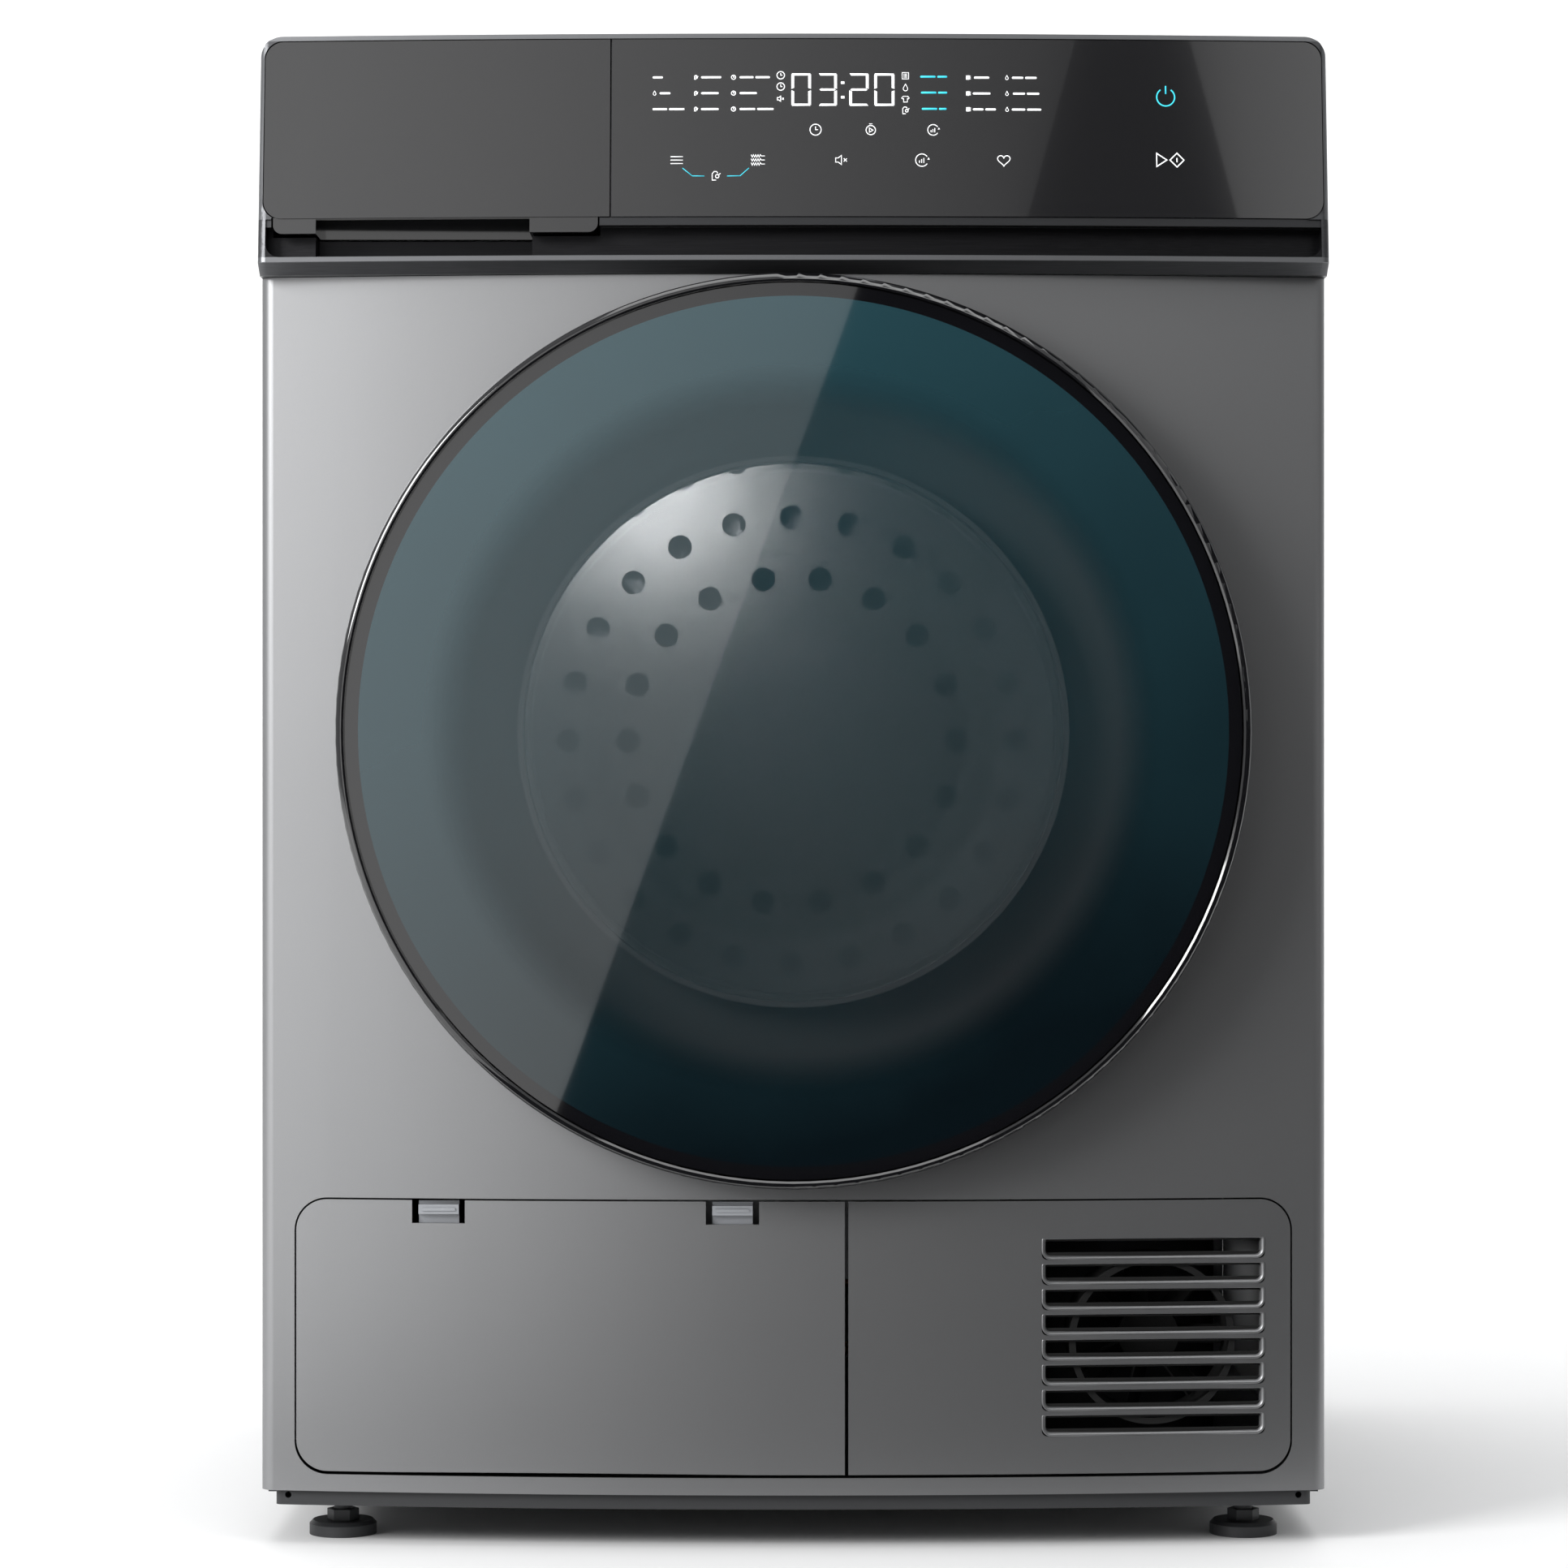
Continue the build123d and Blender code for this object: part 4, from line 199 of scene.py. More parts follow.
BRUSH_LINES, BRUSH_STRETCH, BRUSH_DRIFT, BRUSH_DEPTH = 1500, 0.012, 7, 0.00003


def brushed(name, colour, along, roughness=0.34, metallic=0.9):
    """Metal or metallic foil with fine brush lines along one axis (0, 1 or 2)."""
    finish = Finish(name, Metallic=metallic)
    stretch = [1.0, 1.0, 1.0]
    stretch[along] = BRUSH_STRETCH
    lines = finish.noise(BRUSH_LINES, 3.0, stretch, 0.65)
    drift = finish.noise(BRUSH_DRIFT, 2.0)
    finish.set("Base Color", finish.mix(lines, shade(colour, 0.70), shade(colour, 1.30)))
    finish.set("Roughness", roughness - 0.06 + 0.14 * lines + 0.04 * drift)
    return finish.bump(lines, BRUSH_DEPTH, 0.5).material


def gloss(name, colour, roughness=0.06):
    """Polished piano-black style plastic: a clear coat with the faintest waviness."""
    finish = Finish(name, Coat_Roughness=0.03, Specular_IOR_Level=0.5)
    wave = finish.noise(30, 1.0)
    dust = finish.noise(700, 2.0)
    finish.set("Base Color", finish.mix(dust, shade(colour, 0.9), shade(colour, 1.15)))
    finish.set("Roughness", roughness + 0.03 * dust)
    finish.set("Coat Weight", 0.94 + 0.06 * wave)
    return finish.bump(wave, 0.00004, 0.12).material


def galvanised(name="galvanised_sheet"):
    """Zinc-coated sheet with its patchwork of pale crystals."""
    finish = Finish(name, Metallic=0.9)
    spangle = finish.node("ShaderNodeTexVoronoi", Vector=finish.place, Scale=90.0)["Color"]
    patch = finish.node("ShaderNodeSeparateColor", Color=spangle)
    haze = finish.noise(14, 3.0)
    zinc = finish.mix(0.5 * patch + 0.4 * haze, (0.36, 0.37, 0.39), (0.62, 0.63, 0.65))
    finish.set("Base Color", zinc)
    finish.set("Roughness", 0.36 + 0.16 * patch)
    return finish.bump(haze, 0.00008, 0.2).material


def rubber(name, colour=(0.018, 0.018, 0.02)):
    """Black rubber with a dull bloom on it."""
    finish = Finish(name, Specular_IOR_Level=0.3)
    bloom = finish.noise(60, 3.0)
    skin = finish.noise(1300, 2.0)
    finish.set("Base Color", finish.mix(bloom, colour, shade(colour, 1.9)))
    finish.set("Roughness", 0.62 + 0.15 * skin)
    return finish.bump(skin, 0.00008, 0.35).material


def clear_plastic(name, colour, alpha, roughness=0.12):
    """See-through moulded plastic or glass, whose share of light is its alpha."""
    finish = Finish(name, IOR=1.49, Alpha=alpha)
    wave = finish.noise(45, 2.0)
    finish.set("Base Color", finish.mix(wave, shade(colour, 0.9), shade(colour, 1.1)))
    finish.set("Roughness", roughness + 0.05 * wave)
    return finish.bump(wave, 0.0001, 0.2).material


def felt(name, colour=(0.10, 0.10, 0.11)):
    """Pressed fibre, soft at its edges."""
    finish = Finish(name, Sheen_Weight=0.4, Sheen_Roughness=0.5, Specular_IOR_Level=0.1)
    fibre = finish.noise(1100, 4.0, (1, 1, 1), 0.7)
    finish.set("Base Color", finish.mix(fibre, shade(colour, 0.6), shade(colour, 1.6)))
    finish.set("Roughness", 0.86 + 0.1 * fibre)
    return finish.bump(fibre, 0.0004, 0.6).material


def circuit_board(name):
    """Green lacquer with paler tracks running square to each other."""
    finish = Finish(name, Coat_Weight=0.3)
    cells = finish.node("ShaderNodeTexBrick", Vector=finish.place, Scale=120.0)["Fac"]
    speck = finish.noise(500, 2.0)
    lacquer = finish.mix(0.6 * cells + 0.3 * speck, (0.01, 0.07, 0.035), (0.03, 0.16, 0.08))
    finish.set("Base Color", lacquer)
    finish.set("Roughness", 0.3 + 0.2 * speck)
    return finish.bump(cells, 0.0001, 0.3).material


FRONT_GREY = (0.30, 0.302, 0.308)
finishes = {
    "panel_paint": satin_paint("front_panel_paint", FRONT_GREY),
    "case_paint": satin_paint("cabinet_paint", (0.20, 0.203, 0.21), 0.8, 0.42),
    "worktop": satin_paint("worktop_laminate", (0.22, 0.223, 0.23), 0.5, 0.46),
    "plastic_dark": moulded("charcoal_plastic", (0.028, 0.029, 0.031), 0.48),
    "plastic_grey": moulded("mid_grey_plastic", (0.30, 0.31, 0.32), 0.42),
    "plastic_white": moulded("natural_white_plastic", (0.72, 0.72, 0.70), 0.45),
    "latch_plastic": moulded("latch_nylon", (0.30, 0.31, 0.33), 0.22, 1500, 0.00003),
    "galvanised": galvanised(),
    "drum_steel": brushed("drum_stainless", (0.62, 0.625, 0.63), 1, 0.26, 1.0),
    "bright_steel": brushed("turned_steel", (0.60, 0.60, 0.61), 2, 0.25, 1.0),
    "motor_steel": satin_paint("motor_can_paint", (0.16, 0.165, 0.17), 0.6, 0.35),
    "door_gloss": gloss("door_ring_gloss", (0.006, 0.006, 0.007)),
    "fascia_glass": gloss("fascia_smoked_glass", (0.012, 0.012, 0.013), 0.10),
    "rubber": rubber("black_rubber"),
    "compressor_black": satin_paint("compressor_enamel", (0.03, 0.03, 0.032), 0.2, 0.3),
    "aluminium": brushed("fin_aluminium", (0.70, 0.71, 0.72), 2, 0.35, 1.0),
    "copper": brushed("drawn_copper", (0.72, 0.36, 0.22), 0, 0.30, 1.0),
    "bowl_glass": clear_plastic("bowl_clear_glass", (0.62, 0.70, 0.72), 0.22, 0.05),
    "tank_plastic": clear_plastic("tank_milky_plastic", (0.60, 0.66, 0.70), 0.82, 0.30),
    "felt": felt("grey_felt"),
    "board_green": circuit_board("board_lacquer"),
}
print(len(finishes), "shared finishes")

# %% [markdown]
# ## Finishes that change from place to place
# The control strip is one moulding with a brushed foil on it, dark on the slope. Its colour also holds
# painted light: painted shade makes it almost black down in the finger channel, and painted highlights
# make it paler along the thin lip and round the glass. It could be cut into pieces with a paint each,
# but it is one piece on the real machine, so one finish asks how high and how far across each point
# lies. The door's pane is smoked glass, printed black behind its rim, with its tint painted lighter
# towards the upper left as a painted reflection. The grille is painted on its face only; inside, its dark
# plastic is painted near black as painted shade in the slots.


# %% The control strip, the door pane and the grille
LIP_LOW, LIP_HIGH, CHANNEL_TOP = 0.7140, 0.7171, 0.7340
GLASS_LOW, GLASS_HIGH, GLASS_HALF = 0.7384, 0.8394, 0.2949
CHANNEL_HALF = 0.2931
TRIM_LAP = 0.0002


def within(value, limit):
    """A mask that is 1 where a value lies between minus the limit and the limit."""
    return (value < limit) * (value > -limit)


def fascia_finish():
    """Brushed foil on the control strip, with painted shade in the channel and painted highlights on the
    lip and round the glass, picked by how high and how far across a point lies.
    """
    finish = Finish("control_strip_foil", Metallic=0.8)
    spot = finish.node("ShaderNodeSeparateXYZ", Vector=finish.place)
    height, across = spot["Z"], spot["X"]
    lines = finish.noise(BRUSH_LINES, 3.0, (BRUSH_STRETCH, 1, 1), 0.65)
    drift = finish.noise(BRUSH_DRIFT, 2.0)
    # The lip and the rim round the glass are painted paler as painted highlights; the finger channel is
    # painted near black as painted shade.
    lip = (height > LIP_LOW) * (height < LIP_HIGH)
    inner = within(across, CHANNEL_HALF)
    channel_shade_mask = (height > LIP_HIGH) * (height < CHANNEL_TOP) * inner
    trim = (height > CHANNEL_TOP - TRIM_LAP) * (height < GLASS_LOW) * inner
    rim = (height > GLASS_LOW) * (1.0 - within(across, GLASS_HALF) * (height < GLASS_HIGH))
    # shadow is the painted shade colour of the finger channel; the paler greys mixed in below are painted
    # highlights on the lip and round the glass.
    shadow = finish.mix(lines, (0.006, 0.006, 0.007), (0.020, 0.020, 0.022))
    foil = finish.mix(lines, (0.055, 0.056, 0.060), (0.115, 0.117, 0.122))
    foil = finish.mix(channel_shade_mask, foil, shadow)
    foil = finish.mix(lip, foil, (0.16, 0.163, 0.17))
    foil = finish.mix(rim, foil, (0.20, 0.204, 0.212))
    finish.set("Base Color", finish.mix(trim, foil, (0.05, 0.051, 0.054)))
    finish.set("Roughness", 0.30 + 0.12 * lines + 0.04 * drift)
    return finish.bump(lines, BRUSH_DEPTH, 0.5).material


DOOR_MIDDLE_Z = 0.454
PRINT_RADIUS, CLEAR_RADIUS, CLEAR_FADE = 0.2392, 0.205, 0.03
CLEAR_SHARE = 0.5


def pane_finish():
    """Smoked glass seen through in the middle and printed black towards its rim, its tint painted lighter
    towards the upper left as a painted reflection.
    """
    finish = Finish("door_smoked_glass_painted_reflection", Coat_Weight=1.0, Coat_Roughness=0.02, IOR=1.52)
    spot = finish.node("ShaderNodeSeparateXYZ", Vector=finish.place)
    rise = spot["Z"] - DOOR_MIDDLE_Z
    radius = (spot["X"] ** 2.0 + rise * rise) ** 0.5
    solid = finish.node(
        "ShaderNodeMapRange", {"interpolation_type": "SMOOTHSTEP"},
        Value=radius, From_Min=CLEAR_RADIUS - CLEAR_FADE, From_Max=CLEAR_RADIUS,
    )
    printed = radius > PRINT_RADIUS
    haze = finish.noise(6, 3.0)
    dust = finish.noise(900, 2.0)
    # The tint is painted lighter upward and towards the left as a painted reflection, with random haze on
    # top.
    upper = 0.30 + 2.0 * rise - 0.8 * spot["X"] + 0.3 * haze
    smoke_with_painted_reflection = finish.mix(upper, (0.002, 0.005, 0.007), (0.016, 0.050, 0.062))
    finish.set("Base Color", finish.mix(printed, smoke_with_painted_reflection, (0.004, 0.004, 0.005)))
    finish.set("Roughness", 0.03 + 0.02 * dust + 0.01 * haze)
    finish.set("Alpha", 1.0 - CLEAR_SHARE * (1.0 - solid))
    return finish.bump(haze, 0.00005, 0.1).material


finishes["fascia_finish"] = fascia_finish()
finishes["door_glass"] = pane_finish()
PANEL_MIDDLE_Y, PANEL_RADIUS = -0.290, 2.2227
PAINT_REACH = 0.0012


def grille_finish():
    """Front paint on the bowed face; everything behind it is dark plastic painted near black, as painted
    shade in the slots.
    """
    finish = Finish("grille_paint")
    spot = finish.node("ShaderNodeSeparateXYZ", Vector=finish.place)
    bow = spot["X"] * spot["X"] * (1 / (2 * PANEL_RADIUS))
    behind = (spot["Y"] - PANEL_MIDDLE_Y - bow) > PAINT_REACH
    flake = finish.noise(FLAKE, 1.0)
    drift = finish.noise(DRIFT, 2.0)
    grain = 0.35 * flake + 0.3 * drift
    paint = finish.mix(grain, shade(FRONT_GREY, 0.90), shade(FRONT_GREY, 1.12))
    # Behind the face the plastic is painted near black and dull: its own dark colour plus painted shade in
    # the slots.
    near_black_plastic_and_painted_shade = finish.mix(drift, (0.0015, 0.0015, 0.0015), (0.003, 0.003, 0.003))
    finish.set("Base Color", finish.mix(behind, paint, near_black_plastic_and_painted_shade))
    finish.set("Metallic", PAINT_METALLIC * (1.0 - behind))
    finish.set("Roughness", PAINT_ROUGHNESS + 0.06 * flake + 0.5 * behind)
    return finish.bump(finish.noise(PEEL, 2.0), PEEL_DEPTH, PEEL_SHARE).material


finishes["grille_paint"] = grille_finish()
for node in nodes.values():
    slot_name = node.data.materials[0].name
    node.data.materials[0] = finishes[slot_name]
nodes["ventilation_grille"].data.materials[0] = finishes["grille_paint"]
# The fan blade is painted near black and dull, darker than its black plastic, as painted shade behind the
# slots.
nodes["cooling_fan_blade"].data.materials[0] = moulded(
    "cooling_fan_blade_black_and_painted_shade", (0.003, 0.003, 0.003), 0.8
)
print("every piece of the frame has its finish")

# %% [markdown]
# ## Soft edges
# Nothing real has a perfectly sharp edge: pressed steel bends round a radius and a mould has one too,
# and that thin round is what catches the light. The edges could be rounded by hand, but the frame's
# meshes stay as they are, so a Bevel modifier does it. It rounds only the edges that turn by more than
# a set angle, and leaves the gently faceted curves alone. Widths are in millimetres.


# %% Round the edges of the frame's own pieces
BEVEL_ANGLE = math.radians(50.0)


def soften(piece, width, segments):
    """Rounds a piece's sharp edges by a width in metres."""
    edge = piece.modifiers.new("rounded_edges", "BEVEL")
    edge.width = width
    edge.segments = segments
    edge.limit_method = "ANGLE"
    edge.angle_limit = BEVEL_ANGLE
    edge.use_clamp_overlap = True
    edge.miter_outer = "MITER_ARC"
    shading = piece.modifiers.new("even_shading", "WEIGHTED_NORMAL")
    shading.keep_sharp = True
    shading.weight = 50


SHEET_EDGES = {"worktop": 1.6, "left_side_panel": 0.4, "right_side_panel": 0.4, "rear_panel": 0.4}
for name, width in SHEET_EDGES.items():
    soften(nodes[name], width * MM, 3)
print("edges rounded on", len(SHEET_EDGES), "pieces")

# %% [markdown]
# ## Things that follow the bowed front
# The whole front of the dryer is gently bowed, and so are the lips of its air slots and the signs on its
# glass. The easy way is to draw each of them flat, as on a sheet of paper: how far along the bow, how
# high, how deep. Every point is then moved onto the bow. A Simple Deform modifier could bend a sheet
# too, but it can't follow the small round at each end.


# %% A rounded rectangle
def round_rect(left, right, low, high, corners, steps):
    """Its points, from radii at low left, low right, high right and high left."""
    places = (
        (left, low, 1, 1, 180), (right, low, -1, 1, 270), (right, high, -1, -1, 0), (left, high, 1, -1, 90),
    )
    points = []
    for (x, z, to_x, to_z, start), radius in zip(places, corners):
        for step in range(steps + 1):
            turn = math.radians(start + 90 * step / steps)
            points.append((
                x + to_x * radius + radius * math.cos(turn),
                z + to_z * radius + radius * math.sin(turn),
            ))
    return points


# %% The bow, and a new piece that rides on a body
class Bow:
    """A bowed front: its middle point, its radius, the rounded corners at its two ends and its lean."""

    def __init__(self, front_y, radius, half_width, corner=0.0, lean=0.0, lean_from=0.0):
        self.front_y, self.radius, self.half, self.corner = front_y, radius, half_width, corner
        self.lean, self.lean_from = lean, lean_from
        inner = half_width - corner
        self.corner_middle = math.sqrt((radius - corner) ** 2 - inner ** 2)
        self.turn = math.asin(inner / (radius - corner))
        self.straight = radius * self.turn
        self.corner_run = corner * (math.pi / 2 - self.turn)

    def along(self, x):
        """How far along the bow a given x is, for points on its front."""
        return self.radius * math.asin(x / self.radius)

    def point(self, run, height, depth):
        """The place in the room of a point of the flat sheet."""
        side, length = math.copysign(1, run), abs(run)
        if length <= self.straight:
            angle = length / self.radius
            reach = self.radius - depth
            x, y = reach * math.sin(angle), self.radius - reach * math.cos(angle)
        elif length <= self.straight + self.corner_run:
            angle = self.turn + (length - self.straight) / self.corner
            reach = self.corner - depth
            x = self.half - self.corner + reach * math.sin(angle)
            y = self.radius - self.corner_middle - reach * math.cos(angle)
        else:
            x = self.half - depth
            y = self.radius - self.corner_middle + (length - self.straight - self.corner_run)
        return Vector((side * x, self.front_y + y + self.lean * (height - self.lean_from), height))


def new_piece(name, mesh_maker, body, finish_name):
    """Turns a filled bmesh into an object that rides on a body."""
    mesh = bpy.data.meshes.new(name)
    bmesh.ops.recalc_face_normals(mesh_maker, faces=mesh_maker.faces)
    mesh_maker.to_mesh(mesh)
    mesh_maker.free()
    for face in mesh.polygons:
        face.use_smooth = True
    piece = bpy.data.objects.new(name, mesh)
    bpy.context.scene.collection.objects.link(piece)
    mesh.materials.append(finishes[finish_name])
    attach(piece, body)
    return piece


print("flat drawings can be laid on a bow")

# %% [markdown]
# ## The front panel's and the covers' edges
# The steel front, the hatch and the grille are already bowed in the frame. What they lack is the small
# round that a press leaves along every edge. It is the bright line round the door hole, the service
# covers and the notches. Wider rounds get one more segment, so that they still look smooth.


# %% Round the visible front pieces
FRONT_EDGES = {
    "front_panel": 0.5, "service_hatch": 0.6, "ventilation_grille": 0.5, "control_fascia": 0.5,
    "tank_front": 0.5, "display_glass": 0.4, "base_moulding": 0.6,
    "front_bulkhead": 0.6, "door_inner_frame": 0.8, "exchanger_cover": 1.2, "exchanger_housing": 0.8,
    "rear_duct_cover": 0.8, "cord_gland": 0.5, "drain_spigot": 0.4, "lint_filter": 0.4,
    "front_left_foot": 0.6, "front_right_foot": 0.6, "rear_left_foot": 0.6, "rear_right_foot": 0.6,
    "water_tank": 0.8, "tank_sleeve": 0.5, "left_turn_latch": 0.8, "right_turn_latch": 0.8,
    "drum_lifters": 1.5, "door_hinge_arm": 0.5, "door_hinge_bracket": 0.4, "door_latch_hook": 0.5,
}
WIDE_ROUND = 0.55
for name, width in FRONT_EDGES.items():
    soften(nodes[name], width * MM, 3 if width > WIDE_ROUND else 2)
print("edges rounded on", len(FRONT_EDGES), "more pieces")

# %% [markdown]
# ## The louvres
# Each air slot of the grille is a scoop: its top edge is cut flat, and its bottom and two sides flow
# inward as a bright bevelled lip before the dark opening. A bevel on the slot's own edge would be the
# same all round, so the lip is drawn: rings of points from a wide outline at the surface to a narrow
# one deeper in, with faces between them. It closes on itself, as a thin funnel that lines the slot.


# %% Eight bevelled lips
HALF_WIDTH = 0.2975
PANEL_CORNER = 0.008
panel_bow = Bow(PANEL_MIDDLE_Y, PANEL_RADIUS, HALF_WIDTH, PANEL_CORNER)
SLOTS = 8
SLOT_LEFT, SLOT_RIGHT, SLOT_TOP, SLOT_PITCH, SLOT_HEIGHT = 0.138, 0.263, 0.1724, 0.014, 0.0118
LOW_CORNER, HIGH_CORNER, CORNER_STEPS = 0.0052, 0.0008, 6
LIP_STEPS = (
    (0.0, -0.00035, 0.0), (0.0006, -0.0005, 0.0001), (0.0013, -0.0001, 0.0003),
    (0.0022, 0.0013, 0.0006), (0.0026, 0.0030, 0.0008),
)
LIP_FRONT_BACK, LIP_INSIDE_BACK = 0.0024, 0.0034


def louvre_lip(row):
    """One slot's lip as outlines and their depths; a step is inset, depth and drop of the top edge."""
    high = SLOT_TOP - row * SLOT_PITCH
    low = high - SLOT_HEIGHT
    left, right = panel_bow.along(SLOT_LEFT), panel_bow.along(SLOT_RIGHT)
    rings = []
    for inset, depth, drop in LIP_STEPS:
        low_round = LOW_CORNER - inset
        corners = (low_round, low_round, HIGH_CORNER, HIGH_CORNER)
        rings.append((round_rect(
            left + inset, right - inset, low + inset, high - drop, corners, CORNER_STEPS
        ), depth))
    return rings


def louvre_lips():
    """All the lips as closed funnels: down the slot, and back up behind its own face."""
    shape = bmesh.new()
    for row in range(SLOTS):
        rings = louvre_lip(row)
        widest, narrowest = rings[0][0], rings[-1][0]
        closed = [(widest, LIP_FRONT_BACK), *rings, (narrowest, LIP_INSIDE_BACK)]
        columns = [
            [shape.verts.new(panel_bow.point(run, z, depth)) for run, z in points]
            for points, depth in closed
        ]
        columns.append(columns[0])
        for near, far in zip(columns, columns[1:]):
            for here in range(len(near)):
                there = (here + 1) % len(near)
                shape.faces.new((near[here], near[there], far[there], far[here]))
    return shape


lips = new_piece("louvre_lips", louvre_lips(), "cabinet", "panel_paint")
print("louvre lips:", len(lips.data.polygons), "faces")

# %% [markdown]
# ## Lit symbols on the glass
# Behind the smoked glass sit light guides, so the symbols look printed on its surface and glow a
# little. Text objects or curves could be turned into meshes, but a pen is simpler to lay on the bow: a
# stroke is a list of points, a width, and mitred corners where its pieces meet. Program names are plain
# bars, and nothing on the strip can be read except the remaining time. Sizes here are in millimetres.


# %% Strokes
FASCIA_MIDDLE_Y, FASCIA_RADIUS, FASCIA_CORNER = -0.302, 3.6938, 0.005
FASCIA_LEAN, LEAN_FROM = 0.135, 0.7143
glass_bow = Bow(FASCIA_MIDDLE_Y, FASCIA_RADIUS, HALF_WIDTH, FASCIA_CORNER, FASCIA_LEAN, LEAN_FROM)
GLASS_SET_BACK = 0.0004
STROKE_PROUD = 0.00012
BAR_ROUND = 0.45


class Drawing:
    """Flat strokes and shapes, in millimetres, which end up as thin solids on the glass."""

    def __init__(self):
        self.shape = bmesh.new()

    def tile(self, points):
        """A filled shape, as a thin closed solid."""
        layers = []
        for depth in (GLASS_SET_BACK - STROKE_PROUD, GLASS_SET_BACK + STROKE_PROUD):
            layers.append([
                self.shape.verts.new(glass_bow.point(glass_bow.along(x * MM), z * MM, depth))
                for x, z in points
            ])
        front, back = layers
        self.shape.faces.new(front)
        self.shape.faces.new(list(reversed(back)))
        for here in range(len(front)):
            there = (here + 1) % len(front)
            self.shape.faces.new((front[there], front[here], back[here], back[there]))

    def stroke(self, points, width=0.45, closed=False):
        """A line of even width through the points."""
        spots = [Vector((x, z)) for x, z in points]
        if closed:
            spots = [spots[-1], *spots, spots[0]]
        edges = []
        last = len(spots) - 1
        for number, spot in enumerate(spots):
            before = (spot - spots[max(number - 1, 0)]).normalized() if number else None
            after = (spots[min(number + 1, last)] - spot).normalized() if number < last else None
            along = ((before or after) + (after or before)).normalized()
            aside = Vector((-along.y, along.x))
            side = Vector((-(after or before).y, (after or before).x))
            reach = width / 2 / max(0.5, aside.dot(side))
            edges.append((spot + aside * reach, spot - aside * reach))
        first, final = (1, last - 1) if closed else (0, last)
        for number in range(first, final):
            (a_up, a_down), (b_up, b_down) = edges[number], edges[number + 1]
            self.tile([a_down, b_down, b_up, a_up])
        if closed:
            (a_up, a_down), (b_up, b_down) = edges[final], edges[first]
            self.tile([a_down, b_down, b_up, a_up])

    def ring(self, x, z, radius, width=0.45, start=0.0, sweep=360.0, steps=24):
        """A circle, or a part of one when the sweep is under a full turn."""
        spots = [
            (x + radius * math.cos(math.radians(start + sweep * n / steps)),
             z + radius * math.sin(math.radians(start + sweep * n / steps)))
            for n in range(steps + (sweep < 360))
        ]
        self.stroke(spots, width, closed=sweep >= 360)

    def bar(self, left, right, z, height=1.15):
        """A word-like bar with rounded ends."""
        corners = [height * BAR_ROUND] * 4
        self.tile(round_rect(left, right, z - height / 2, z + height / 2, corners, 3))


print("strokes can be drawn")

# %% The small signs, each drawn round a middle point at a size
THIN, FINE, BOLD = 0.38, 0.32, 0.42


def clock_sign(pen, x, z, size):
    pen.ring(x, z, size)
    pen.stroke([(x, z + size * 0.6), (x, z), (x + size * 0.45, z)], THIN)


def play_sign(pen, x, z, size):
    pen.ring(x, z, size)
    left = x - size * 0.3
    pen.stroke([(left, z - size * 0.45), (x + size * 0.5, z), (left, z + size * 0.45)], THIN, True)
    lid_z = z + size * 1.35
    pen.stroke([(x - size * 0.35, lid_z), (x + size * 0.35, lid_z)], THIN)


def level_sign(pen, x, z, size):
    pen.ring(x, z, size, start=35, sweep=290)
    for step in range(3):
        left = x + size * (0.35 * step - 0.4)
        pen.stroke([(left, z - size * 0.45), (left, z - size * 0.05 + size * 0.2 * step)], 0.4)
    foot_z = z + size * 0.1
    pen.tile([(x + size * 1.05, z + size * 0.45), (x + size * 1.25, foot_z), (x + size * 0.85, foot_z)])


def mute_sign(pen, x, z, size):
    pen.stroke([
        (x - size, z - size * 0.4), (x - size * 0.5, z - size * 0.4), (x + size * 0.1, z - size * 0.9),
        (x + size * 0.1, z + size * 0.9), (x - size * 0.5, z + size * 0.4), (x - size, z + size * 0.4),
    ], 0.4, True)
    for rise in (-1, 1):
        swing = rise * size * 0.3
        pen.stroke([(x + size * 0.55, z - swing), (x + size * 1.15, z + swing)], THIN)


def heart_sign(pen, x, z, size):
    spots = []
    for step in range(32):
        turn = 2 * math.pi * step / 32
        across = math.sin(turn) ** 3
        up = 13 * math.cos(turn) - 5 * math.cos(2 * turn) - 2 * math.cos(3 * turn) - math.cos(4 * turn)
        up /= 16
        spots.append((x + size * across, z + size * up * 0.95))
    pen.stroke(spots, 0.45, True)


def shirt_sign(pen, x, z, size):
    half = [(0.25, 0.75), (0.6, 0.75), (1.0, 0.3), (0.7, 0.0), (0.5, 0.2), (0.5, -0.8)]
    spots = [(x + size * a, z + size * b) for a, b in half]
    spots += [(x - size * a, z + size * b) for a, b in reversed(half)]
    pen.stroke(spots, FINE, True)


def drop_sign(pen, x, z, size):
    spots = [(x, z + size)]
    for step in range(9):
        turn = math.radians(30 - 240 * step / 8)
        spots.append((x + size * 0.6 * math.cos(turn), z - size * 0.25 + size * 0.6 * math.sin(turn)))
    pen.stroke(spots, FINE, True)


def wave_sign(pen, x, z, size):
    for row in (-1, 0, 1):
        spots = []
        for step in range(13):
            ripple = size * 0.2 * (-1) ** step * (step < 9)
            spots.append((x - size + 2 * size * step / 12, z + row * size * 0.6 + ripple))
        pen.stroke(spots, 0.35)


def line_sign(pen, x, z, size):
    for row in (-1, 0, 1):
        pen.stroke([(x - size, z + row * size * 0.57), (x + size, z + row * size * 0.57)], BOLD)


def box_sign(pen, x, z, size):
    low, high = z - size, z + size
    pen.stroke([(x - size, low), (x + size, low), (x + size, high), (x - size, high)], FINE, True)
    for column in (-0.4, 0.0, 0.4):
        pen.stroke([(x + size * column, z - size * 0.7), (x + size * column, z + size * 0.7)], 0.28)


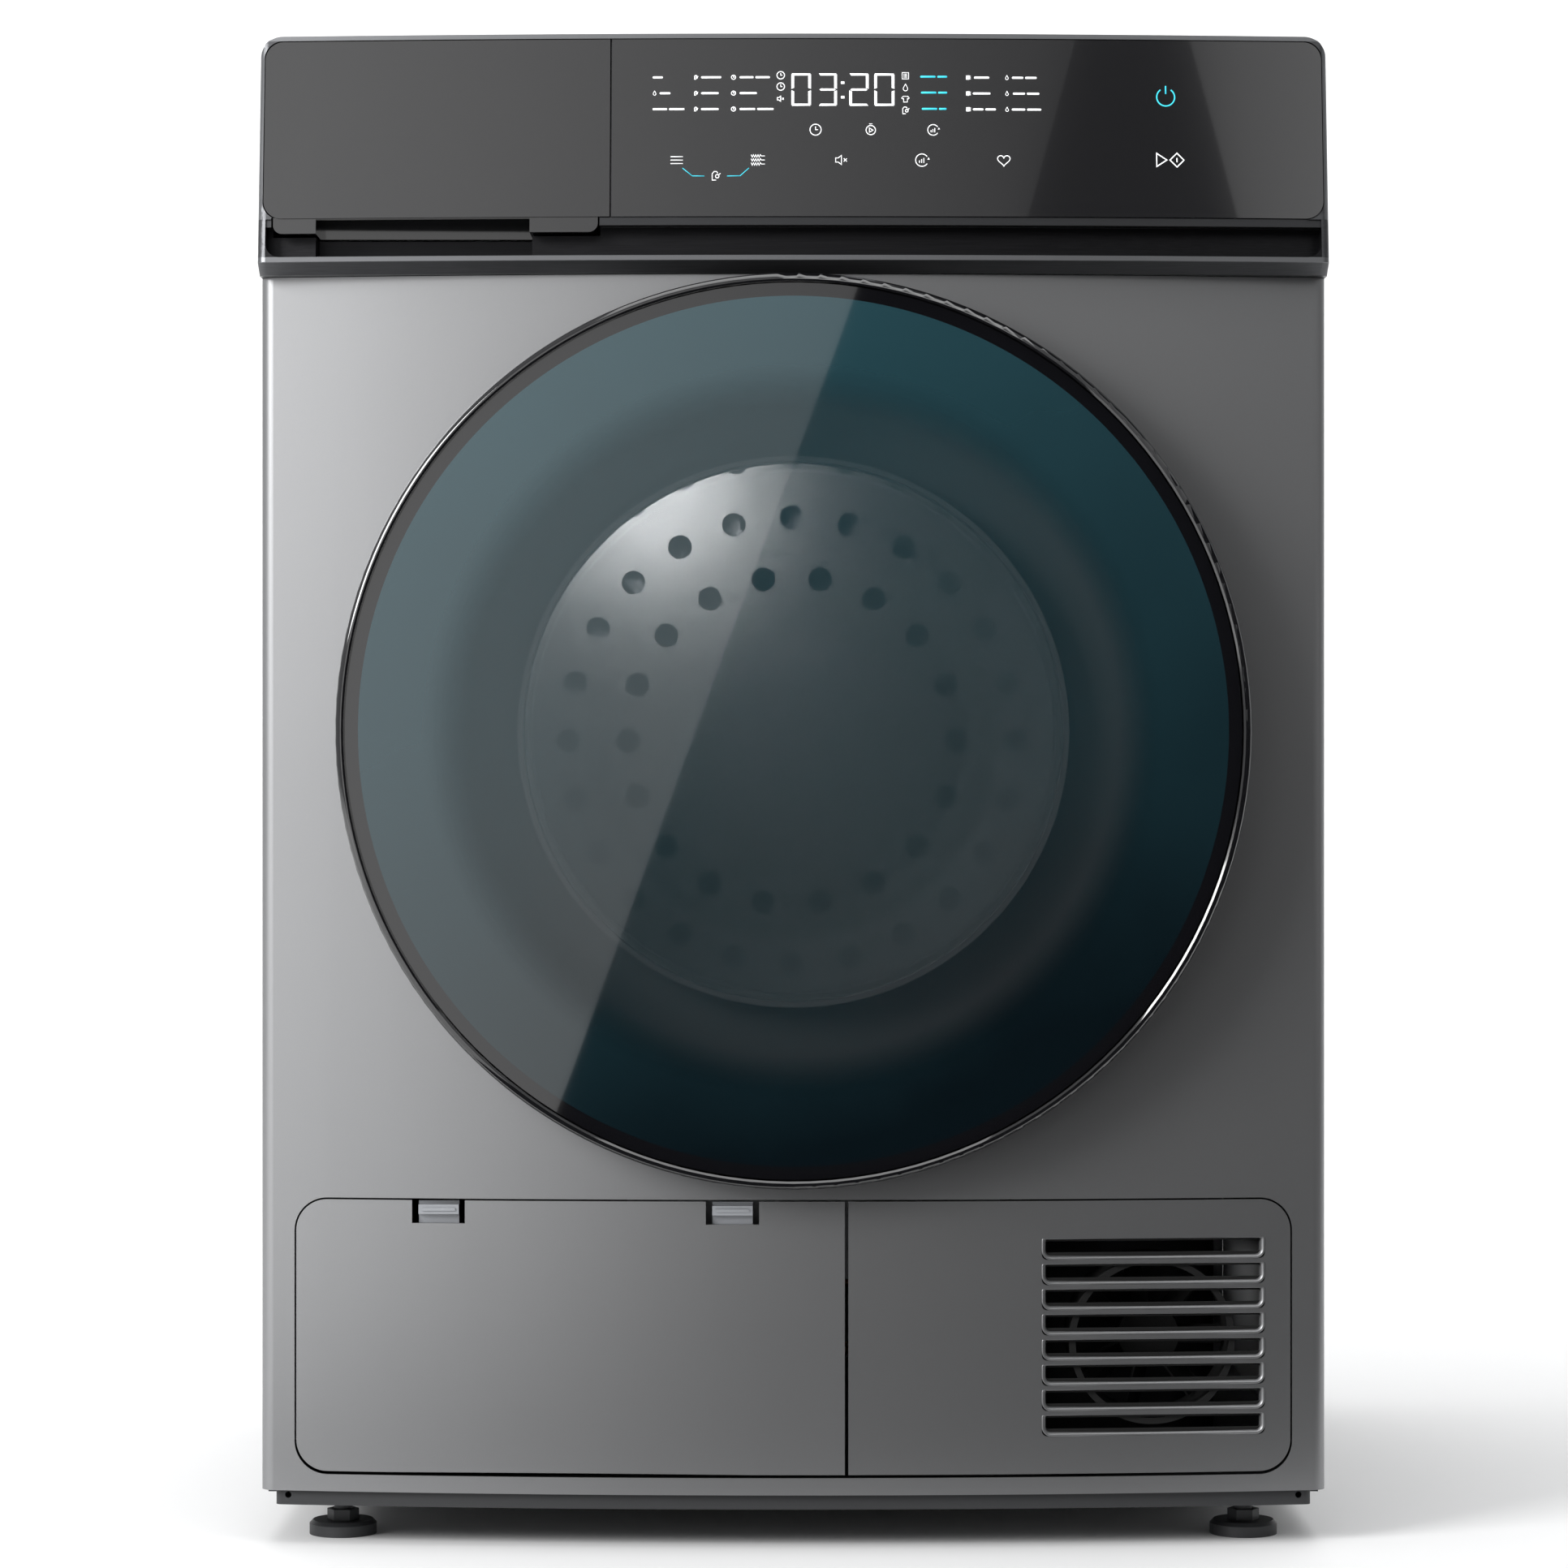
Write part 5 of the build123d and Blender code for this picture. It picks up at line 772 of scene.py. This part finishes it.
def child_sign(pen, x, z, size):
    pen.stroke([
        (x + size * 0.1, z - size), (x - size * 0.8, z - size), (x - size * 0.8, z + size * 0.5),
        (x - size * 0.4, z + size), (x + size * 0.2, z + size), (x + size * 0.5, z + size * 0.6),
    ], BOLD)
    pen.ring(x + size * 0.35, z - size * 0.1, size * 0.4, BOLD)
    pen.stroke([(x + size * 0.65, z + size * 0.2), (x + size * 1.1, z + size * 0.6)], BOLD)


# %% [markdown]
# ## The remaining time
# A light module shows each number with seven slim bars, lettered a to g from the top and round to the
# middle one. A font could be used for this, but its letters would be rounder and heavier than the bars
# of a real module. So each bar is one filled shape, with its ends cut so that neighbours don't touch.


# %% Digits of the remaining time
SEGMENTS = {"0": "abcdef", "2": "abged", "3": "abgcd"}
BAR_THICK, BAR_GAP = 1.55, 0.22
END_CUT, BAR_DEEP, SIDE_CUT, TIP = 0.75, 0.8, 0.5, 0.2
MIDDLE_OUT, MIDDLE_IN, MIDDLE_HALF = 0.6, 1.4, 0.6


def digit(pen, sign, left, right, low, high):
    """One number made of slim bars with pointed ends, as a light module shows it."""
    middle = (low + high) / 2

    def level_bar(z, rise):
        near, far = left + BAR_GAP, right - BAR_GAP
        near_cut, far_cut = left + BAR_THICK * END_CUT, right - BAR_THICK * END_CUT
        if rise < 0:
            pen.tile([(near, z), (near_cut, z - rise), (far_cut, z - rise), (far, z)])
        else:
            pen.tile([(near, z), (far, z), (far_cut, z - rise), (near_cut, z - rise)])

    def upright_bar(edge, start, end, inward):
        z0, z1 = start + BAR_GAP, end - BAR_GAP
        inner = edge + inward * BAR_THICK
        cut = BAR_THICK * SIDE_CUT
        pen.tile([(edge, z0 + TIP), (inner, z0 + cut), (inner, z1 - cut), (edge, z1 - TIP)])

    wanted = SEGMENTS[sign]
    if "a" in wanted:
        level_bar(high, BAR_THICK * BAR_DEEP)
    if "d" in wanted:
        level_bar(low, -BAR_THICK * BAR_DEEP)
    if "g" in wanted:
        lower, upper = middle - MIDDLE_HALF, middle + MIDDLE_HALF
        pen.tile([
            (left + MIDDLE_OUT, middle), (left + MIDDLE_IN, lower), (right - MIDDLE_IN, lower),
            (right - MIDDLE_OUT, middle), (right - MIDDLE_IN, upper), (left + MIDDLE_IN, upper),
        ])
    for name, edge, start, end, inward in (
        ("b", right, middle, high, -1), ("c", right, low, middle, -1),
        ("f", left, middle, high, 1), ("e", left, low, middle, 1),
    ):
        if name in wanted:
            upright_bar(edge, start, end, inward)


print("digits have", len(SEGMENTS["0"]), "bars at most here")

# %% [markdown]
# ## Laying out the strip
# The signs stand in rows, as on the real strip: program names at both sides of the time, their small
# pictures before them, the extras in the row below, and the touch keys along the bottom. What the user
# has to find in the dark is blue-green, and the rest is white. Each place is the middle of a sign.


# %% Draw everything in white
DIGIT_LOW, DIGIT_HIGH = 801.0, 819.4
white = Drawing()
for sign, left, right in (("0", -1.1, 9.8), ("3", 13.9, 24.2), ("2", 31.0, 41.8), ("0", 44.9, 56.1)):
    digit(white, sign, left, right, DIGIT_LOW, DIGIT_HIGH)
for height in (805.9, 814.1):
    white.tile([(26.4, height - 0.7), (28.4, height - 0.7), (28.4, height + 0.7), (26.4, height + 0.7)])
name_bars = {
    817.2: [(-78.1, -72.4), (-51.2, -40.0), (-29.8, -13.0), (100.3, 108.8), (121.4, 135.2)],
    808.2: [(-74.2, -68.2), (-51.2, -41.4), (-29.8, -20.2), (99.6, 109.4), (121.9, 136.6)],
    799.2: [(-78.1, -60.4), (-51.2, -41.4), (-29.8, -10.9), (99.6, 112.4), (121.2, 137.6)],
}
LONG_NAME, FIRST_WORD = 12, 0.46
for height, words in name_bars.items():
    for left, right in words:
        split = left + (right - left) * (FIRST_WORD if right - left > LONG_NAME else 1.0)
        white.bar(left, split, height)
        if split < right:
            white.bar(split + 1.0, right, height)
for height in name_bars:
    clock_sign(white, -33.2, height, 1.15)
    child_sign(white, -54.0, height, 1.05)
    wave_sign(white, 97.2, height, 1.3)
    drop_sign(white, 118.6, height, 1.3)
drop_sign(white, -77.0, 808.2, 1.3)
clock_sign(white, -7.0, 818.3, 2.1)
clock_sign(white, -7.0, 811.9, 2.1)
mute_sign(white, -7.2, 805.0, 1.7)
box_sign(white, 62.2, 818.1, 1.8)
drop_sign(white, 62.2, 811.3, 2.1)
shirt_sign(white, 62.2, 804.9, 2.1)
child_sign(white, 62.2, 798.5, 1.9)
clock_sign(white, 12.3, 787.5, 3.1)
play_sign(white, 42.9, 787.3, 2.6)
level_sign(white, 77.5, 787.5, 3.0)
line_sign(white, -64.6, 770.4, 3.4)
wave_sign(white, -19.6, 770.4, 3.8)
mute_sign(white, 26.3, 770.4, 2.9)
level_sign(white, 71.2, 770.4, 3.5)
heart_sign(white, 116.6, 770.6, 3.5)
child_sign(white, -43.0, 761.5, 2.4)
white.stroke([(201.6, 767.5), (207.3, 771.2), (201.6, 774.9)], 0.6, True)
white.stroke([(209.0, 771.2), (212.9, 767.3), (216.8, 771.2), (212.9, 775.1)], 0.6, True)
white.stroke([(212.9, 770.0), (212.9, 772.4)], 0.6)
print("white strokes:", len(white.shape.faces), "faces")

# %% Draw what is lit blue-green, and make both colours
blue = Drawing()
for height, left, right in ((817.6, 70.4, 85.4), (808.6, 70.8, 85.4), (799.4, 71.2, 85.0)):
    blue.bar(left, left + 8.6, height, 1.1)
    blue.bar(left + 9.5, right, height, 1.1)
blue.stroke([(-61.4, 765.9), (-56.0, 761.5), (-49.3, 761.4)], 0.4)
blue.stroke([(-36.7, 761.4), (-29.5, 761.5), (-24.6, 765.9)], 0.4)
blue.ring(207.0, 806.8, 5.0, 0.75, 125, 290, 30)
blue.stroke([(207.0, 808.6), (207.0, 813.2)], 0.75)


def lit(name, colour, strength):
    """Light behind a printed sign: a soft glow that is not quite even."""
    finish = Finish(name, Roughness=0.4, Emission_Strength=strength)
    cloud = finish.noise(240, 2.0)
    finish.set("Base Color", finish.mix(cloud, shade(colour, 0.9), colour))
    return finish.set("Emission Color", finish.mix(cloud, shade(colour, 0.85), colour)).material


finishes["lit_white"] = lit("lit_white_sign", (0.86, 0.87, 0.88), 0.75)
finishes["lit_blue"] = lit("lit_blue_sign", (0.03, 0.50, 0.62), 0.8)
for drawing, name, finish in ((white, "white_signs", "lit_white"), (blue, "blue_signs", "lit_blue")):
    signs = new_piece(name, drawing.shape, "cabinet", finish)

# %% [markdown]
# ## The studio
# The dryer stands on a pale floor that curves up into a pale wall, as a roll of paper does in a studio,
# so there is no horizon line. Big soft lamps stand left, right and above, and a tiny one in the drum
# shows what is behind the pane. Polished glass shows whatever stands in front of it, so glowing and dark
# cards stand there, where only polished surfaces see them. The edge between two of them leans across the
# door, and the dark ones are why the lower right of the steel front is darker than its upper left.


# %% Floor, lamps and cards
def staged(name, shape, finish):
    """Makes a part of the studio, which doesn't belong to the dryer."""
    mesh = bpy.data.meshes.new(name)
    shape.to_mesh(mesh)
    shape.free()
    mesh.materials.append(finish.material)
    made = bpy.data.objects.new(name, mesh)
    bpy.context.scene.collection.objects.link(made)
    return made


SWEEP_FRONT, SWEEP_BACK, SWEEP_TOP = -6.0, 2.4, 6.0
SWEEP_ROUND, SWEEP_STEPS = 1.6, 12


def studio_sweep():
    """A floor that turns up into a back wall, as one sheet."""
    shape = bmesh.new()
    profile = [(SWEEP_FRONT, 0.0), (-3.0, 0.0), (0.0, 0.0), (SWEEP_BACK, 0.0)]
    for step in range(1, SWEEP_STEPS + 1):
        turn = math.radians(90 * step / SWEEP_STEPS)
        profile.append((SWEEP_BACK + SWEEP_ROUND * math.sin(turn), SWEEP_ROUND * (1 - math.cos(turn))))
    profile.append((SWEEP_BACK + SWEEP_ROUND, SWEEP_TOP))
    columns = []
    for x in (-7.0, -2.0, 0.0, 2.0, 7.0):
        columns.append([shape.verts.new((x, y, z)) for y, z in profile])
    for left, right in zip(columns, columns[1:]):
        for low in range(len(profile) - 1):
            shape.faces.new((left[low], right[low], right[low + 1], left[low + 1]))
    for face in shape.faces:
        face.smooth = True
    paper = Finish("studio_paper")
    cloud = paper.noise(3, 3.0)
    paper.set("Base Color", paper.mix(cloud, (0.86, 0.86, 0.86), (0.90, 0.90, 0.90)))
    paper.set("Roughness", 0.85 + 0.08 * cloud)
    staged("studio_sweep", shape, paper)


def lamp(name, place, aim, size, power):
    """A square soft lamp, aimed at a point."""
    data = bpy.data.lights.new(name, "AREA")
    data.shape = "RECTANGLE"
    data.size = size
    data.size_y = size
    data.energy = power
    made = bpy.data.objects.new(name, data)
    made.location = place
    made.rotation_euler = (Vector(aim) - Vector(place)).to_track_quat("-Z", "Y").to_euler()
    made.visible_camera = False
    bpy.context.scene.collection.objects.link(made)


HIDDEN_FROM = ("camera", "diffuse", "shadow", "transmission", "volume_scatter")


def card(name, corners, glow=None):
    """A flat card that only polished surfaces see: dark, or glowing from one strength to another."""
    shape = bmesh.new()
    shape.faces.new([shape.verts.new(corner) for corner in corners])
    cloth = Finish(name + "_cloth", Specular_IOR_Level=0.0, Emission_Strength=1.0 if glow else 0.0)
    weave = cloth.noise(300, 2.0)
    cloth.set("Base Color", cloth.mix(weave, (0.004, 0.004, 0.004), (0.008, 0.008, 0.008)))
    cloth.set("Roughness", 0.9 + 0.05 * weave)
    if glow:
        left, right, left_glow, right_glow = glow
        across = cloth.node("ShaderNodeSeparateXYZ", Vector=cloth.place)["X"]
        share = cloth.node("ShaderNodeMapRange", Value=across, From_Min=left, From_Max=right)
        cloth.set("Emission Color", cloth.mix(share, (left_glow,) * 3, (right_glow,) * 3))
    made = staged(name, shape, cloth)
    for ray in HIDDEN_FROM:
        setattr(made, "visible_" + ray, False)


def upright(points, away=0.0):
    """Corners of a card that stands in front of the machine, a little further away or not."""
    return [(x, CARD_Y - away, z) for x, z in points]


CARD_Y, LIGHT_AWAY, CARD_RIGHT = -1.25, 0.02, 1.3
FLOOR_NEAR, FLOOR_FAR, FLOOR_Z = -0.36, -2.4, 0.004
studio_sweep()
card("floor_card", [
    (-0.45, FLOOR_NEAR, FLOOR_Z), (CARD_RIGHT, FLOOR_NEAR, FLOOR_Z),
    (CARD_RIGHT, FLOOR_FAR, FLOOR_Z), (-0.15, FLOOR_FAR, FLOOR_Z),
])
card("side_card", [
    (CARD_RIGHT, CARD_Y, 0.0), (CARD_RIGHT, -0.1, 0.0), (CARD_RIGHT, -0.1, 1.5), (CARD_RIGHT, CARD_Y, 1.5),
])
card("dark_card", upright([
    (-0.265, 0.0), (CARD_RIGHT, 0.0), (CARD_RIGHT, 0.93), (0.51, 0.93), (0.506, 1.1), (0.42, 1.36),
    (0.333, 1.36), (0.2463, 1.1), (0.205, 0.93), (0.0745, 0.93),
]))
for name, points, glow in (
    ("door_light", [(-0.95, 0.0), (-0.26, 0.0), (0.075, 0.93), (-0.95, 0.93)], (-0.8, 0.05, 1.45, 0.75)),
    ("strip_light", [(-0.75, 1.06), (0.24, 1.06), (0.34, 1.40), (-0.75, 1.40)], (-0.55, 0.30, 1.25, 0.30)),
    ("power_light", [(0.50, 1.06), (0.9, 1.06), (0.9, 1.40), (0.41, 1.40)], (0.42, 0.62, 0.50, 1.15)),
):
    card(name, upright(points, LIGHT_AWAY), glow)

# %% The pale room and its lamps
CABINET_MIDDLE = (0, 0, 0.45)
world = bpy.data.worlds.new("pale_room")
bpy.context.scene.world = world
world.use_nodes = True
room_light = world.node_tree.nodes["Background"].inputs
room_light["Color"].default_value = (0.90, 0.91, 0.92, 1.0)
room_light["Strength"].default_value = 0.55
lamp("left_softbox", (-2.6, -2.4, 1.9), CABINET_MIDDLE, 1.6, 125)
lamp("right_softbox", (2.8, -1.6, 1.4), CABINET_MIDDLE, 1.2, 9)
lamp("top_softbox", (0.0, -0.6, 3.0), (0, 0, 0.4), 2.2, 30)
lamp("wall_lamp", (0.0, 1.4, 3.2), (0, 3.6, 0.9), 3.0, 70)
lamp("drum_lamp", (-0.10, -0.12, 0.64), (0.05, 0.2, 0.40), 0.10, 0.5)

# %% [markdown]
# ## The camera
# It looks straight at the door from a hair left of the middle, at about half the machine's height. A
# long lens from far away keeps the sides parallel, the way catalogue pictures are taken.

# %% Camera
LENS_LENGTH, SENSOR_WIDTH = 102.7, 36.0
lens = bpy.data.cameras.new("front_camera")
lens.lens = LENS_LENGTH
lens.sensor_width = SENSOR_WIDTH
lens.clip_end = 60.0
camera = bpy.data.objects.new("front_camera", lens)
camera.location = (-0.0052, -2.770, 0.425)
camera.rotation_euler = (math.radians(90), 0.0, 0.0)
bpy.context.scene.collection.objects.link(camera)
bpy.context.scene.camera = camera
bpy.context.scene.view_settings.view_transform = "Standard"
